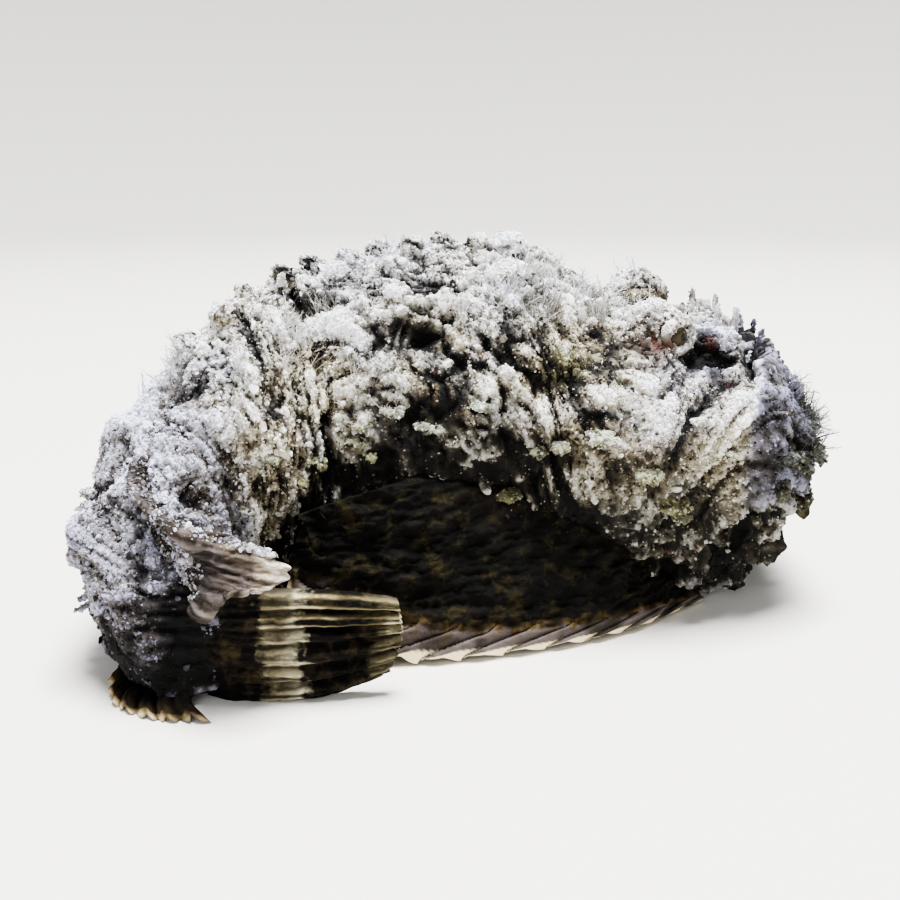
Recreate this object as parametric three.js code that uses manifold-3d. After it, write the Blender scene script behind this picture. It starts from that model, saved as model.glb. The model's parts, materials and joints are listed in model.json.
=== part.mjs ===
// A stonefish lying on the floor with its tail curled round to its right side, as a still, life-size model.
// Millimetres, +Z up. The origin is the middle of the belly's flat, and the head points along +X.
// Every form grows on one midline: s runs along it from the chin to the tail fin, q to the fish's left.

import * as THREE from "three";
import { mergeVertices } from "three/addons/utils/BufferGeometryUtils.js";
import Module from "manifold-3d";

const wasm = await Module();
wasm.setup();

// Driving sizes.
const BODY_LENGTH = 268; // from the chin to the tail fin's root, along the bend
const BROW_REACH = 30; // length over which the face rounds off upwards
const THROAT_REACH = 50; // length over which the chin slopes back to the floor
const NOSE_REACH = 42; // length over which the face rounds off in width
const CHIN_HEIGHT = 45; // height of the foremost point
const GAP = 0.3; // between neighbouring pieces
const CLEAR = 0.36; // the same gap, with the facets' sag added
const AROUND = 44; // points round a body section
const CUTS = [88, 150, 187, 224]; // where the body is parted: gill opening, trunk's end, two across the tail

// The midline from above: chin, eyes, nape, trunk, bend, tail root, tail fin.
const MIDLINE = [
  [104, 8], [51, 5], [30, 3], [5, 2], [-38, -5], [-73, -22],
  [-97, -49], [-94, -72], [-75, -84], [-48, -83], [-24, -79],
];

// Profiles along the body as [s, value] pairs, joined by smooth curves.
const BACK = [
  [0, 72], [18, 84], [34, 89], [48, 88], [62, 91], [78, 97], [100, 106],
  [130, 106], [155, 104], [178, 98], [200, 86], [217, 71], [235, 54], [252, 39], [268, 31],
];
const BELLY = [
  [0, -8], [140, -8], [165, -1], [182, 1.5], [200, -1], [218, -2.5], [250, -1.5], [268, 1.5],
];
const HALF_WIDTH = [
  [0, 46], [30, 46], [50, 45], [75, 46], [100, 47], [130, 44], [155, 38],
  [178, 33], [200, 27.5], [217, 23], [235, 19], [252, 14.5], [268, 6],
];
const WIDEST_HEIGHT = [
  [0, 50], [60, 58], [100, 57], [150, 54], [190, 48], [222, 36], [250, 22], [268, 17],
];

function profile(points, s) {
  let i = 0;
  while (i < points.length - 2 && s > points[i + 1][0]) {
    i += 1;
  }
  const [s0, a] = points[i];
  const [s1, b] = points[i + 1];
  const [sp, p] = points[Math.max(i - 1, 0)];
  const [sn, n] = points[Math.min(i + 2, points.length - 1)];
  const t = THREE.MathUtils.clamp((s - s0) / (s1 - s0), 0, 1);
  const slopeIn = ((b - p) / (s1 - sp)) * (s1 - s0);
  const slopeOut = ((n - a) / (sn - s0)) * (s1 - s0);
  const t2 = t * t;
  const t3 = t2 * t;
  return (2 * t3 - 3 * t2 + 1) * a + (t3 - 2 * t2 + t) * slopeIn
    + (3 * t2 - 2 * t3) * b + (t3 - t2) * slopeOut;
}

const bump = (x, centre, spread) => Math.exp(-(((x - centre) / spread) ** 2));
const fraction = (x) => x - Math.floor(x);
const mix = THREE.MathUtils.lerp;
const step = THREE.MathUtils.smoothstep;

const midline = new THREE.CatmullRomCurve3(
  MIDLINE.map(([x, y]) => new THREE.Vector3(x, y, 0)), false, "centripetal",
);
midline.arcLengthDivisions = 600;
const MIDLINE_LENGTH = midline.getLength();

// The point at s along the midline, q to the fish's left and z up.
function place(s, q, z) {
  const u = THREE.MathUtils.clamp(s / MIDLINE_LENGTH, 0, 1);
  const at = midline.getPointAt(u);
  const along = midline.getTangentAt(u);
  return new THREE.Vector3(at.x + along.y * q, at.y - along.x * q, z);
}

// The plain section at s: a lopsided superellipse, fullest at the widest height, tucked under to the floor.
function section(s, angle) {
  const upwards = Math.sqrt(Math.max(1 - (1 - Math.min(s / BROW_REACH, 1)) ** 2, 0));
  const downwards = Math.max(1 - (1 - Math.min(s / THROAT_REACH, 1)) ** 2, 0) ** 0.85;
  const inWidth = Math.max(1 - (1 - Math.min(s / NOSE_REACH, 1)) ** 2.2, 0) ** (1 / 2.2);
  const top = mix(CHIN_HEIGHT, profile(BACK, s), upwards);
  const bottom = mix(CHIN_HEIGHT, profile(BELLY, s), downwards);
  const middle = mix(CHIN_HEIGHT, profile(WIDEST_HEIGHT, s), upwards);
  const half = profile(HALF_WIDTH, s) * inWidth;
  const c = Math.cos(angle);
  const h = Math.sin(angle);
  const power = h > 0 ? 2 / 1.9 : 2 / 2.4;
  const rise = h > 0 ? top - middle : middle - bottom;
  return {
    q: half * Math.sign(c) * Math.abs(c) ** power,
    z: middle + rise * Math.sign(h) * Math.abs(h) ** power,
  };
}

// Large warts, spread evenly over the back and flanks, each a rounded lump of its own size.
const WARTS = [];
for (let i = 0; i < 170; i += 1) {
  const s = 5 + 237 * fraction(0.5 + i * 0.7548776662);
  const angle = Math.PI * (-0.12 + 1.24 * fraction(0.5 + i * 0.5698402910));
  const size = fraction(0.5 + i * 0.6180339887);
  const { q, z } = section(s, angle);
  WARTS.push({ at: place(s, q, z), radius: mix(4.5, 8.5, size), height: mix(1.4, 3.8, size) });
}

// How far the skin stands off the plain section: warts, cheek, the hollow behind the gill cover, the pit
// in front of the eye, the flank's hollow over the pectoral fin, the chin's upright folds, and on the
// right side the arched hollow under the back and the notch behind the cheek.
function relief(s, q, z, at) {
  let off = 0;
  for (const wart of WARTS) {
    const far = at.distanceToSquared(wart.at) / (wart.radius * wart.radius);
    if (far < 5) {
      off += wart.height * Math.exp(-far);
    }
  }
  const flank = step(Math.abs(q), 12, 30);
  off += 4.5 * bump(s, 62, 24) * bump(z, 58, 20) * flank;
  off -= 3.2 * bump(s, 101, 9) * bump(z, 54, 20) * flank;
  off -= 5 * bump(s, 37, 8) * bump(Math.abs(q), 30, 8) * step(z, 60, 70);
  off -= 2.5 * bump(s, 122, 36) * bump(z, 32, 16) * flank;
  off += 1.6 * Math.cos((s + 0.2 * z) * 0.72) * bump(s, 38, 26) * bump(z, 26, 18);
  if (q < 0) {
    off -= 4 * step(s, 119, 123) * (1 - step(s, 131, 147)) * bump(z, 89 - 0.25 * Math.abs(s - 129), 9);
    off -= 3 * bump(s, 88 - 0.5 * (z - 50), 6) * bump(z, 55, 10);
  }
  return off * step(s, 0, 7) * (1 - 0.6 * step(s, 240, 268)) * step(z, 0, 8);
}

// The body's skin at s and angle, grown outwards by extra; nothing goes below the floor.
function skinPoint(s, angle, extra) {
  const here = section(s, angle);
  const next = section(s, angle + 0.01);
  const last = section(s, angle - 0.01);
  const dq = next.q - last.q;
  const dz = next.z - last.z;
  const run = Math.hypot(dq, dz) || 1;
  const off = relief(s, here.q, here.z, place(s, here.q, here.z)) + extra;
  const q = here.q + (off * dz) / run;
  const z = here.z - (off * dq) / run;
  return place(s, q, Math.max(z, -extra));
}

// Stations of the body's rings: close at the blunt face, then even, with a pair at each cut.
const STATIONS = [0.15, 1.2, 3, 5.5, 8.5, 12, 16, 20];
for (let s = 24; s < BODY_LENGTH - 2; s += s < 80 ? 4.5 : 6) {
  if (CUTS.every((cut) => Math.abs(cut - s) > 1.5)) {
    STATIONS.push(s);
  }
}
CUTS.forEach((cut) => STATIONS.push(cut - GAP / 2, cut + GAP / 2));
STATIONS.push(BODY_LENGTH);
STATIONS.sort((a, b) => a - b);

// A closed mesh from rings of points, capped at both ends by fans.
function fromRings(rings) {
  const around = rings[0].length;
  const points = rings.flat();
  const faces = [];
  for (let r = 0; r < rings.length - 1; r += 1) {
    for (let i = 0; i < around; i += 1) {
      const a = r * around + i;
      const b = r * around + ((i + 1) % around);
      faces.push(a, b, b + around, a, b + around, a + around);
    }
  }
  [0, rings.length - 1].forEach((r) => {
    const hub = points.length;
    const centre = new THREE.Vector3();
    rings[r].forEach((p) => centre.addScaledVector(p, 1 / around));
    points.push(centre);
    for (let i = 0; i < around; i += 1) {
      const a = r * around + i;
      const b = r * around + ((i + 1) % around);
      faces.push(...(r === 0 ? [hub, b, a] : [hub, a, b]));
    }
  });
  return meshOf(points, faces);
}

// A closed mesh with its faces turned outwards, whichever way round they were listed.
function meshOf(points, faces) {
  let volume = 0;
  for (let i = 0; i < faces.length; i += 3) {
    const [a, b, c] = [points[faces[i]], points[faces[i + 1]], points[faces[i + 2]]];
    volume += a.dot(new THREE.Vector3().crossVectors(b, c));
  }
  const geometry = new THREE.BufferGeometry();
  geometry.setAttribute("position", new THREE.Float32BufferAttribute(points.flatMap((p) => p.toArray()), 3));
  geometry.setIndex(volume > 0 ? faces : [...faces].reverse());
  return geometry;
}

// A closed sheet over a grid: middle(u, v) is its middle surface, thick(u, v) its thickness.
// Both faces are split into triangles alike.
function sheet(middle, thick, acrossCount, alongCount, extra = 0) {
  const points = [[], []];
  const tiny = 1e-3;
  for (let i = 0; i <= acrossCount; i += 1) {
    for (let j = 0; j <= alongCount; j += 1) {
      const u = i / acrossCount;
      const v = j / alongCount;
      const p = middle(u, v);
      const du = middle(Math.min(u + tiny, 1), v).sub(middle(Math.max(u - tiny, 0), v));
      const dv = middle(u, Math.min(v + tiny, 1)).sub(middle(u, Math.max(v - tiny, 0)));
      const normal = du.cross(dv).normalize();
      const half = thick(u, v) / 2 + extra;
      points[0].push(p.clone().addScaledVector(normal, half));
      points[1].push(p.clone().addScaledVector(normal, -half));
    }
  }
  const row = alongCount + 1;
  const under = points[0].length;
  const faces = [];
  for (let i = 0; i < acrossCount; i += 1) {
    for (let j = 0; j < alongCount; j += 1) {
      const a = i * row + j;
      const b = a + row;
      faces.push(a, b, b + 1, a, b + 1, a + 1);
      faces.push(under + a, under + b + 1, under + b, under + a, under + a + 1, under + b + 1);
    }
  }
  const rim = [];
  for (let i = 0; i < acrossCount; i += 1) {
    rim.push(i * row);
  }
  for (let j = 0; j < alongCount; j += 1) {
    rim.push(acrossCount * row + j);
  }
  for (let i = acrossCount; i > 0; i -= 1) {
    rim.push(i * row + alongCount);
  }
  for (let j = alongCount; j > 0; j -= 1) {
    rim.push(j);
  }
  rim.forEach((a, k) => {
    const b = rim[(k + 1) % rim.length];
    faces.push(a, under + a, under + b, a, under + b, b);
  });
  return meshOf(points.flat(), faces);
}

function solid(geometry) {
  const bare = geometry.index ? geometry.toNonIndexed() : geometry.clone();
  bare.deleteAttribute("normal");
  bare.deleteAttribute("uv");
  const merged = mergeVertices(bare, 1e-4);
  return new wasm.Manifold(new wasm.Mesh({
    numProp: 3,
    vertProperties: merged.attributes.position.array,
    triVerts: new Uint32Array(merged.index.array),
  }));
}

// The largest closed surface of a solid, as a geometry.
function largest(made) {
  const pieces = made.decompose().sort((a, b) => b.volume() - a.volume());
  const { vertProperties, triVerts, numProp } = pieces[0].getMesh();
  const xyz = new Float32Array((vertProperties.length / numProp) * 3);
  for (let i = 0; i < xyz.length / 3; i += 1) {
    xyz.set(vertProperties.subarray(i * numProp, i * numProp + 3), i * 3);
  }
  const geometry = new THREE.BufferGeometry();
  geometry.setAttribute("position", new THREE.BufferAttribute(xyz, 3));
  geometry.setIndex(Array.from(triVerts));
  return geometry;
}

// A length of the body between two stations, with its end faces square to the midline.
function bodyLength(from, to, extra = 0) {
  const inside = STATIONS.filter((s) => s > from - 0.01 && s < to + 0.01);
  return fromRings(inside.map((s) => {
    const ring = [];
    for (let i = 0; i < AROUND; i += 1) {
      ring.push(skinPoint(s, (2 * Math.PI * i) / AROUND, extra));
    }
    return ring;
  }));
}

// A smooth curve through a few named points, read at u from 0 to 1.
function curveOf(points) {
  const curve = new THREE.CatmullRomCurve3(points.map((p) => new THREE.Vector3(...p)), false, "centripetal");
  return (u) => curve.getPoint(THREE.MathUtils.clamp(u, 0, 1));
}

// A fin's middle surface: each ray is a bow from the base through the middle curve to the margin.
function loft(base, middle, margin) {
  return (u, v) => {
    const a = base(u);
    const b = middle(u);
    const c = margin(u);
    return a.multiplyScalar((1 - v) * (1 - 2 * v))
      .addScaledVector(b, 4 * v * (1 - v))
      .addScaledVector(c, v * (2 * v - 1));
  };
}

// Ray ridges: 1 on a ray, 0 between two.
const onRay = (u, rays) => 0.5 + 0.5 * Math.cos(2 * Math.PI * (u * rays - 0.5));

const model = new THREE.Group();

function add(name, geometry, colour, roughness) {
  geometry.computeVertexNormals();
  const material = new THREE.MeshStandardMaterial({ color: colour, roughness, metalness: 0 });
  const mesh = new THREE.Mesh(geometry, material);
  mesh.name = name;
  model.add(mesh);
  return mesh;
}

// A tapered stalk with a bowed path from root to tip, flattened across by flat.
function spike(root, tip, bow, width, flat, sides = 7, rings = 4) {
  const along = tip.clone().sub(root);
  const across = new THREE.Vector3().crossVectors(along, bow).normalize();
  const out = new THREE.Vector3().crossVectors(across, along).normalize();
  const list = [];
  for (let k = 0; k <= rings; k += 1) {
    const t = k / rings;
    const centre = root.clone().addScaledVector(along, t).addScaledVector(bow, 4 * t * (1 - t));
    const radius = Math.max((width / 2) * (1 - t ** 2.8), 0.7);
    const ring = [];
    for (let i = 0; i < sides; i += 1) {
      const a = (2 * Math.PI * i) / sides;
      ring.push(centre.clone()
        .addScaledVector(across, radius * Math.cos(a))
        .addScaledVector(out, Math.max(radius * flat, 0.4) * Math.sin(a)));
    }
    list.push(ring);
  }
  return fromRings(list);
}

const floorBlock = new THREE.BoxGeometry(500, 500, 20);
floorBlock.translate(0, 0, -10);
const floor = solid(floorBlock);
const body = solid(bodyLength(0, BODY_LENGTH, CLEAR));
const clearOfBody = (made) => made.subtract(body).subtract(floor);

// Mouth: a parting that runs back from the lips to the corner and down to the throat, seen from the side.
const MOUTH = [[140, 86], [88, 84], [76, 79], [70, 64]];
const THROAT = [[66, 42], [57, 20], [50, -6]];
const LIP_RADIUS = 2.3;
const SLIT = 1.5;

// A wall of even thickness across the whole head, along a line of [x, z] points.
function wallAlong(line, width) {
  const side = (turn) => line.map(([x, z], i) => {
    const [xa, za] = line[Math.max(i - 1, 0)];
    const [xb, zb] = line[Math.min(i + 1, line.length - 1)];
    const run = Math.hypot(xb - xa, zb - za);
    return new THREE.Vector2(x + (turn * width * (zb - za)) / run, z - (turn * width * (xb - xa)) / run);
  });
  const shape = new THREE.Shape([...side(0.5), ...side(-0.5).reverse()]);
  const wall = new THREE.ExtrudeGeometry(shape, { depth: 130, bevelEnabled: false });
  wall.rotateX(Math.PI / 2);
  wall.translate(0, 70, 0);
  return solid(wall);
}

function mouthHeight(x) {
  const last = MOUTH.findIndex(([end]) => x >= end);
  if (last < 1) {
    return last === 0 ? MOUTH[0][1] : MOUTH[MOUTH.length - 1][1];
  }
  const [[x1, z1], [x2, z2]] = [MOUTH[last - 1], MOUTH[last]];
  return mix(z1, z2, (x1 - x) / (x1 - x2));
}

// Where the mouth's line meets the skin at s, on the left (1) or right (-1) side, found by halving the angle.
function mouthPoint(s, side) {
  let low = 0;
  let high = Math.PI / 2;
  for (let i = 0; i < 24; i += 1) {
    const angle = (low + high) / 2;
    const p = skinPoint(s, side > 0 ? angle : Math.PI - angle, 0);
    if (p.z < mouthHeight(p.x)) {
      low = angle;
    } else {
      high = angle;
    }
  }
  return skinPoint(s, side > 0 ? high : Math.PI - high, 0);
}

// A lip: a round roll along the mouth's line, set off it up and back, or down and forward.
function lip(offset) {
  const stations = [30.2, 28, 26, 24, 22, 20.8];
  const right = stations.map((s) => mouthPoint(s, -1));
  const left = stations.map((s) => mouthPoint(s, 1)).reverse();
  const path = new THREE.CatmullRomCurve3([...right, ...left].map((p) => p.clone().add(offset)));
  const count = 18;
  const rings = [];
  for (let k = 0; k <= count; k += 1) {
    const t = k / count;
    const at = path.getPointAt(t);
    const along = path.getTangentAt(t);
    const across = new THREE.Vector3(0, 0, 1).cross(along).normalize();
    const up = along.clone().cross(across).normalize();
    const radius = LIP_RADIUS * (0.45 + 0.55 * Math.sin(Math.PI * t) ** 0.5);
    const ring = [];
    for (let i = 0; i < 6; i += 1) {
      const a = (Math.PI * i) / 3;
      ring.push(at.clone()
        .addScaledVector(across, radius * Math.cos(a))
        .addScaledVector(up, radius * Math.sin(a)));
    }
    rings.push(ring);
  }
  return solid(fromRings(rings));
}

const skull = solid(bodyLength(0, CUTS[0] - GAP / 2));
const parting = wallAlong([...MOUTH, ...THROAT], GAP);
const slit = wallAlong(MOUTH, SLIT);
const halves = skull.subtract(parting).decompose().sort((a, b) => b.volume() - a.volume());
let head = halves[0].add(lip(new THREE.Vector3(-1, 0, 1.6)));
let jaw = halves[1].add(lip(new THREE.Vector3(1.4, 0, -1.8)));

// Skin flaps: flat, tapered tongues of skin, rooted at s and angle, hanging or standing as drop says.
function flap(s, angle, length, width, drop) {
  const foot = skinPoint(s, angle, -2);
  const out = skinPoint(s, angle, 6).sub(foot).normalize();
  const tip = foot.clone().addScaledVector(out, length * 0.55 + 2);
  tip.z += drop * length;
  return solid(spike(foot, tip, out.multiplyScalar(1.2), width, 0.24, 6, 3));
}

// [s, angle in turns, length, width, drop] for the jaw, then for the head; each is set on both sides.
const JAW_FLAPS = [
  [8, 0.03, 10, 5, -0.8], [12, 0.95, 8, 8, -0.8], [19, 0.89, 8, 9, -0.7], [28, 0.84, 6, 8, -0.5],
  [15, 0.12, 6, 5, 0.1], [6, 0.86, 7, 7, -0.8], [22, 0.98, 8, 7, -0.6],
];
const HEAD_FLAPS = [
  [47, 0.93, 8, 9, -0.6], [57, 0.97, 8, 10, -0.6], [36, 0.2, 5, 2.5, 0.7], [29, 0.21, 4.5, 2.5, 0.7],
  [50, 0.04, 7, 8, -0.5], [78, 0.02, 8, 9, -0.6], [67, 0.99, 7, 8, -0.5],
];
const bothSides = (angle) => [2 * Math.PI * angle, Math.PI - 2 * Math.PI * angle];
JAW_FLAPS.forEach(([s, turn, ...size]) => bothSides(turn).forEach((angle) => {
  jaw = jaw.add(flap(s, angle, ...size));
}));
HEAD_FLAPS.forEach(([s, turn, ...size]) => bothSides(turn).forEach((angle) => {
  head = head.add(flap(s, angle, ...size));
}));

// Eyes on mounds at the top of the head, each in a ring of lids, and a pair of nostrils before each eye.
const NOSTRILS = [[33, 12], [42, 10]];
const EYE = { s: 56, turn: 1.5, q: 18, z: 88.5, tilt: 3.5, radius: 4.6, mound: 10.5, proud: 0.6 };
const LIDS = { ring: 5.3, roll: 1.9, long: 1.15, tall: 0.8, ahead: 2.6 };

// A dome roughened by broad, low lumps.
function lumpyDome(radius) {
  const dome = new THREE.SphereGeometry(radius, 14, 9);
  const { position } = dome.attributes;
  const p = new THREE.Vector3();
  for (let i = 0; i < position.count; i += 1) {
    p.fromBufferAttribute(position, i);
    const lump = Math.sin(0.7 * p.x + 1) * Math.cos(0.6 * p.y) + Math.sin(0.8 * p.z + 0.5 * p.x);
    p.multiplyScalar(1 + 0.05 * lump);
    position.setXYZ(i, p.x, p.y, p.z);
  }
  return dome;
}

[-1, 1].forEach((side) => {
  const top = place(EYE.s - side * EYE.turn, side * EYE.q, EYE.z + side * EYE.tilt);
  const mound = lumpyDome(EYE.mound);
  mound.translate(top.x, top.y, top.z);
  const gaze = new THREE.Vector3(0.85, side, 0.12).normalize();
  const eyeAt = top.clone().addScaledVector(gaze, EYE.mound - EYE.radius + EYE.proud);
  const lids = new THREE.TorusGeometry(LIDS.ring, LIDS.roll, 5, 14);
  lids.scale(LIDS.tall, LIDS.long, 1);
  lids.lookAt(gaze);
  lids.translate(...eyeAt.clone().addScaledVector(gaze, LIDS.ahead).toArray());
  const socket = new THREE.SphereGeometry(EYE.radius + GAP, 14, 10);
  socket.translate(...eyeAt.toArray());
  const eye = new THREE.SphereGeometry(EYE.radius, 14, 10);
  eye.translate(...eyeAt.toArray());
  add(side < 0 ? "eye_right" : "eye_left", eye, 0x4a3b22, 0.25);
  head = head.add(solid(mound)).add(solid(lids)).subtract(solid(socket));
  NOSTRILS.forEach(([s, q]) => {
    const angle = Math.PI / 2 - side * Math.asin(q / 46);
    const foot = skinPoint(s, angle, 0);
    const out = skinPoint(s, angle, 3).sub(foot).normalize();
    const rim = new THREE.TorusGeometry(1.9, 0.9, 4, 9);
    rim.lookAt(out);
    rim.translate(...foot.clone().addScaledVector(out, 0.5).toArray());
    const pit = new THREE.SphereGeometry(1.4, 6, 4);
    pit.translate(...foot.clone().addScaledVector(out, 0.6).toArray());
    head = head.add(solid(rim)).subtract(solid(pit));
  });
});

const parted = (made) => largest(made.subtract(parting).subtract(slit).subtract(floor));
add("head", parted(head), 0xb9b3a0, 0.9);
add("lower_jaw", parted(jaw), 0x9c94a0, 0.85);
["trunk", "tail_front", "tail_bend", "tail_root"].forEach((name, i) => {
  const to = i < 3 ? CUTS[i + 1] - GAP / 2 : BODY_LENGTH;
  add(name, bodyLength(CUTS[i] + GAP / 2, to), 0xb0a994, 0.9);
});

// The spiny dorsal fin: thirteen sheathed spines that lean back and to alternate sides, on a low web.
const SPINES = { count: 13, from: 76, to: 202, height: 5.5, width: 15, web: 2 };
function spinyDorsal() {
  const ridge = (s, up, q = 0) => {
    const top = skinPoint(s, Math.PI / 2, 0);
    return place(s, q, top.z + up);
  };
  const web = sheet(
    (u, v) => ridge(mix(SPINES.from - 5, SPINES.to + 4, u), mix(-4, SPINES.web, v)),
    (u, v) => mix(9, 3, v), 30, 1,
  );
  let made = solid(web);
  for (let i = 0; i < SPINES.count; i += 1) {
    const s = mix(SPINES.from, SPINES.to, i / (SPINES.count - 1));
    const size = 1 - 0.35 * (i / SPINES.count) - (i === 0 ? 0.2 : 0);
    const lean = (i % 2 ? -1 : 1) * 3.5;
    const root = ridge(s, -5, 0);
    const tip = ridge(s + 7 * size, SPINES.height * size, lean);
    const bow = new THREE.Vector3(0, 0, 1.6);
    made = made.add(solid(spike(root, tip, bow, SPINES.width * size, 0.8, 6, 3)));
  }
  return made;
}
add("dorsal_fin_spiny", largest(clearOfBody(spinyDorsal())), 0xc4bda9, 0.9);

// A fin whose rays run from a base line to a margin, each line a few points in place() terms or in plan.
function fin(lines, rays, root, edge, ridge, columns, rows) {
  const surface = loft(...lines.map((line) => curveOf(line)));
  const thick = (u, v) => mix(root, edge, v) + ridge * onRay(u, rays) * step(v, 0.02, 0.2);
  return solid(sheet(surface, thick, columns, rows));
}
const placed = (lines) => lines.map((line) => line.map(([s, q, z]) => place(s, q, z).toArray()));

// The soft dorsal fin, folded back over the tail's root.
const SOFT_DORSAL = placed([
  [[224, 0, 62], [238, 0, 50], [250, 0, 39], [264, 0, 30]],
  [[239, 4.5, 56], [258, 4, 48], [269, 5, 40], [268, 8, 35], [263, 9, 29]],
  [[256, 6, 50.5], [281, 3, 43], [285.5, 4.5, 38], [279, 8, 35.5], [272, 10, 36], [267, 10, 27]],
]);
const softDorsal = clearOfBody(fin(SOFT_DORSAL, 7, 2.6, 0.9, 0.9, 14, 5));
add("dorsal_fin_soft", largest(softDorsal), 0xcabf9d, 0.85);

// The tail fin, half folded, standing on its lower edge.
const CAUDAL = placed([
  [[261, 0, 29], [261, 0, 16], [261, 0, 1.5]],
  [[286, 0, 31], [286, 1, 16], [286, 0, -0.6]],
  [[312, 0, 27], [313, 0, 17], [309, 0, 6]],
]);
const caudal = clearOfBody(fin(CAUDAL, 12, 3.4, 1.2, 1, 24, 5));
add("caudal_fin", largest(caudal), 0x8d7f62, 0.85);

// The anal fin, splayed on the floor on the outer side of the bend.
const ANAL = placed([
  [[236, 4, 3], [243, 5, 2], [251, 5, 2], [258, 3, 3]],
  [[239, 10, 3], [245, 12, 2], [252, 11, 2], [261, 8, 2.5]],
  [[240, 14, 0.5], [247, 17, 0.5], [256, 16, 0.5], [267, 12, 0.5]],
]);
const anal = clearOfBody(fin(ANAL, 9, 2.4, 1, 0.7, 18, 3));
add("anal_fin", largest(anal), 0x9a8f6d, 0.85);

// Pelvic fins, flat under the breast.
const PELVIC = [
  [[24, 20, 3], [30, 19, 3], [40, 18, 3], [50, 16, 3]],
  [[18, 29, 2], [28, 30, 2], [40, 29, 2], [50, 25, 2]],
  [[10, 34, 0.5], [24, 38, 0.5], [40, 36, 0.5], [52, 30, 0.5]],
];

// Pectoral fins: broad fans that spread down the flanks to the floor, rays fanning from behind the gills.
const PECTORAL = {
  rays: 14,
  right: [
    [[-16, -39, 49], [2, -41, 43], [22, -39, 33], [40, -33, 21], [56, -19, 10]],
    [[-38, -51, 47], [-30, -56, 29], [0, -54, 18], [34, -44, 12], [62, -24, 6]],
    [[-58, -54, 41], [-62, -60, 4], [-30, -66, 0.7], [4, -60, 0.7], [38, -46, 0.7], [66, -24, 0.7]],
  ],
  left: [
    [[-16, 40, 56], [2, 44, 48], [22, 44, 36], [40, 40, 22], [56, 30, 10]],
    [[-38, 46, 53], [-30, 56, 31], [0, 60, 18], [34, 52, 12], [62, 38, 6]],
    [[-62, 44, 46], [-62, 58, 4], [-30, 70, 0.7], [4, 68, 0.7], [38, 58, 0.7], [68, 40, 0.7]],
  ],
};
["right", "left"].forEach((side) => {
  const turn = side === "right" ? -1 : 1;
  const pelvic = PELVIC.map((line) => line.map(([x, y, z]) => [x, 4 + turn * y, z]));
  add(`pelvic_fin_${side}`, largest(clearOfBody(fin(pelvic, 5, 2, 1, 0.7, 10, 3))), 0x8f8468, 0.85);
  const pectoral = clearOfBody(fin(PECTORAL[side], PECTORAL.rays, 3, 1.1, 1.1, 28, 7));
  add(`pectoral_fin_${side}`, largest(pectoral), 0x9a8b66, 0.8);
});

export default model;
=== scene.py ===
"""A stonefish lying on the floor with its tail curled round to its right: a still, life-size model.

Shapes are worked out in millimetres and turned to metres as they go into a mesh. As in the solids,
s runs along the midline from the chin to the tail fin, q goes to the fish's left, and z is up.
"""

import functools
import json
import math

import bpy
import numpy as np
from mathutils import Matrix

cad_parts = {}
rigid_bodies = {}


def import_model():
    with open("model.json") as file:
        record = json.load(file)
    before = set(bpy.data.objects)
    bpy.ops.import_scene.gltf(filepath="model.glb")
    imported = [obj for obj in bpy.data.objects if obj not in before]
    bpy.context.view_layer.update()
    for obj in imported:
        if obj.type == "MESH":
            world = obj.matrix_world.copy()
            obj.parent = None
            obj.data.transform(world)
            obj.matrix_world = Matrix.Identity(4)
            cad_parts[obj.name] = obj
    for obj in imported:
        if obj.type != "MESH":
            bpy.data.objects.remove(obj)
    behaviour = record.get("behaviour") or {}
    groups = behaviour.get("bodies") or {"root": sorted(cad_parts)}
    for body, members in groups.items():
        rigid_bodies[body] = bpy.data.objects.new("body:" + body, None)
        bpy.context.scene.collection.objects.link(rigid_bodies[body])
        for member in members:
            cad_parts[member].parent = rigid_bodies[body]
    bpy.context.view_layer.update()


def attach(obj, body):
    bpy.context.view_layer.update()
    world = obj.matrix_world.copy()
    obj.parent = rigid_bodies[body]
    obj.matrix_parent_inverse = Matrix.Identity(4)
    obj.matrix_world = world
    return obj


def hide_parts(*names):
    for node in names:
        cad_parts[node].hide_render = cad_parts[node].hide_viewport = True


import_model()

bl_info = {
    "name": "Stonefish",
    "version": (1, 0, 0),
    "blender": (4, 5, 0),
    "location": "View3D > Sidebar > Stonefish",
    "description": "Builds a life-size stonefish round its solids",
    "category": "Add Mesh",
}

MM = 0.001
SIDEWAYS, ONWARDS, UP = np.eye(3)
FLESH = ("head", "lower_jaw", "trunk", "tail_front", "tail_bend", "tail_root")
FIELDS = ("crest", "silt", "mauve", "moss", "shade", "rust")  # the markings that skin and coat share, painted shade and painted top light among them
CLEAR = 0.2  # how far above the floor skin and coat stay, in mm
FIN_CLEAR = 0.15

# Driving sizes, as in the solids.
BODY_LENGTH = 268
BROW_REACH = 30
THROAT_REACH = 50
NOSE_REACH = 42
CHIN_HEIGHT = 45
MIDLINE = [
    (104, 8, 0), (51, 5, 0), (30, 3, 0), (5, 2, 0), (-38, -5, 0), (-73, -22, 0),
    (-97, -49, 0), (-94, -72, 0), (-75, -84, 0), (-48, -83, 0), (-24, -79, 0),
]
BACK = [
    (0, 72), (18, 84), (34, 89), (48, 88), (62, 91), (78, 97), (100, 106), (130, 106),
    (155, 104), (178, 98), (200, 86), (217, 71), (235, 54), (252, 39), (268, 31),
]
BELLY = [(0, -8), (140, -8), (165, -1), (182, 1.5), (200, -1), (218, -2.5), (250, -1.5), (268, 1.5)]
HALF_WIDTH = [
    (0, 46), (30, 46), (50, 45), (75, 46), (100, 47), (130, 44), (155, 38),
    (178, 33), (200, 27.5), (217, 23), (235, 19), (252, 14.5), (268, 6),
]
WIDEST_HEIGHT = [(0, 50), (60, 58), (100, 57), (150, 54), (190, 48), (222, 36), (250, 22), (268, 17)]
MOUTH = [(140, 86), (88, 84), (76, 79), (70, 64)]
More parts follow.
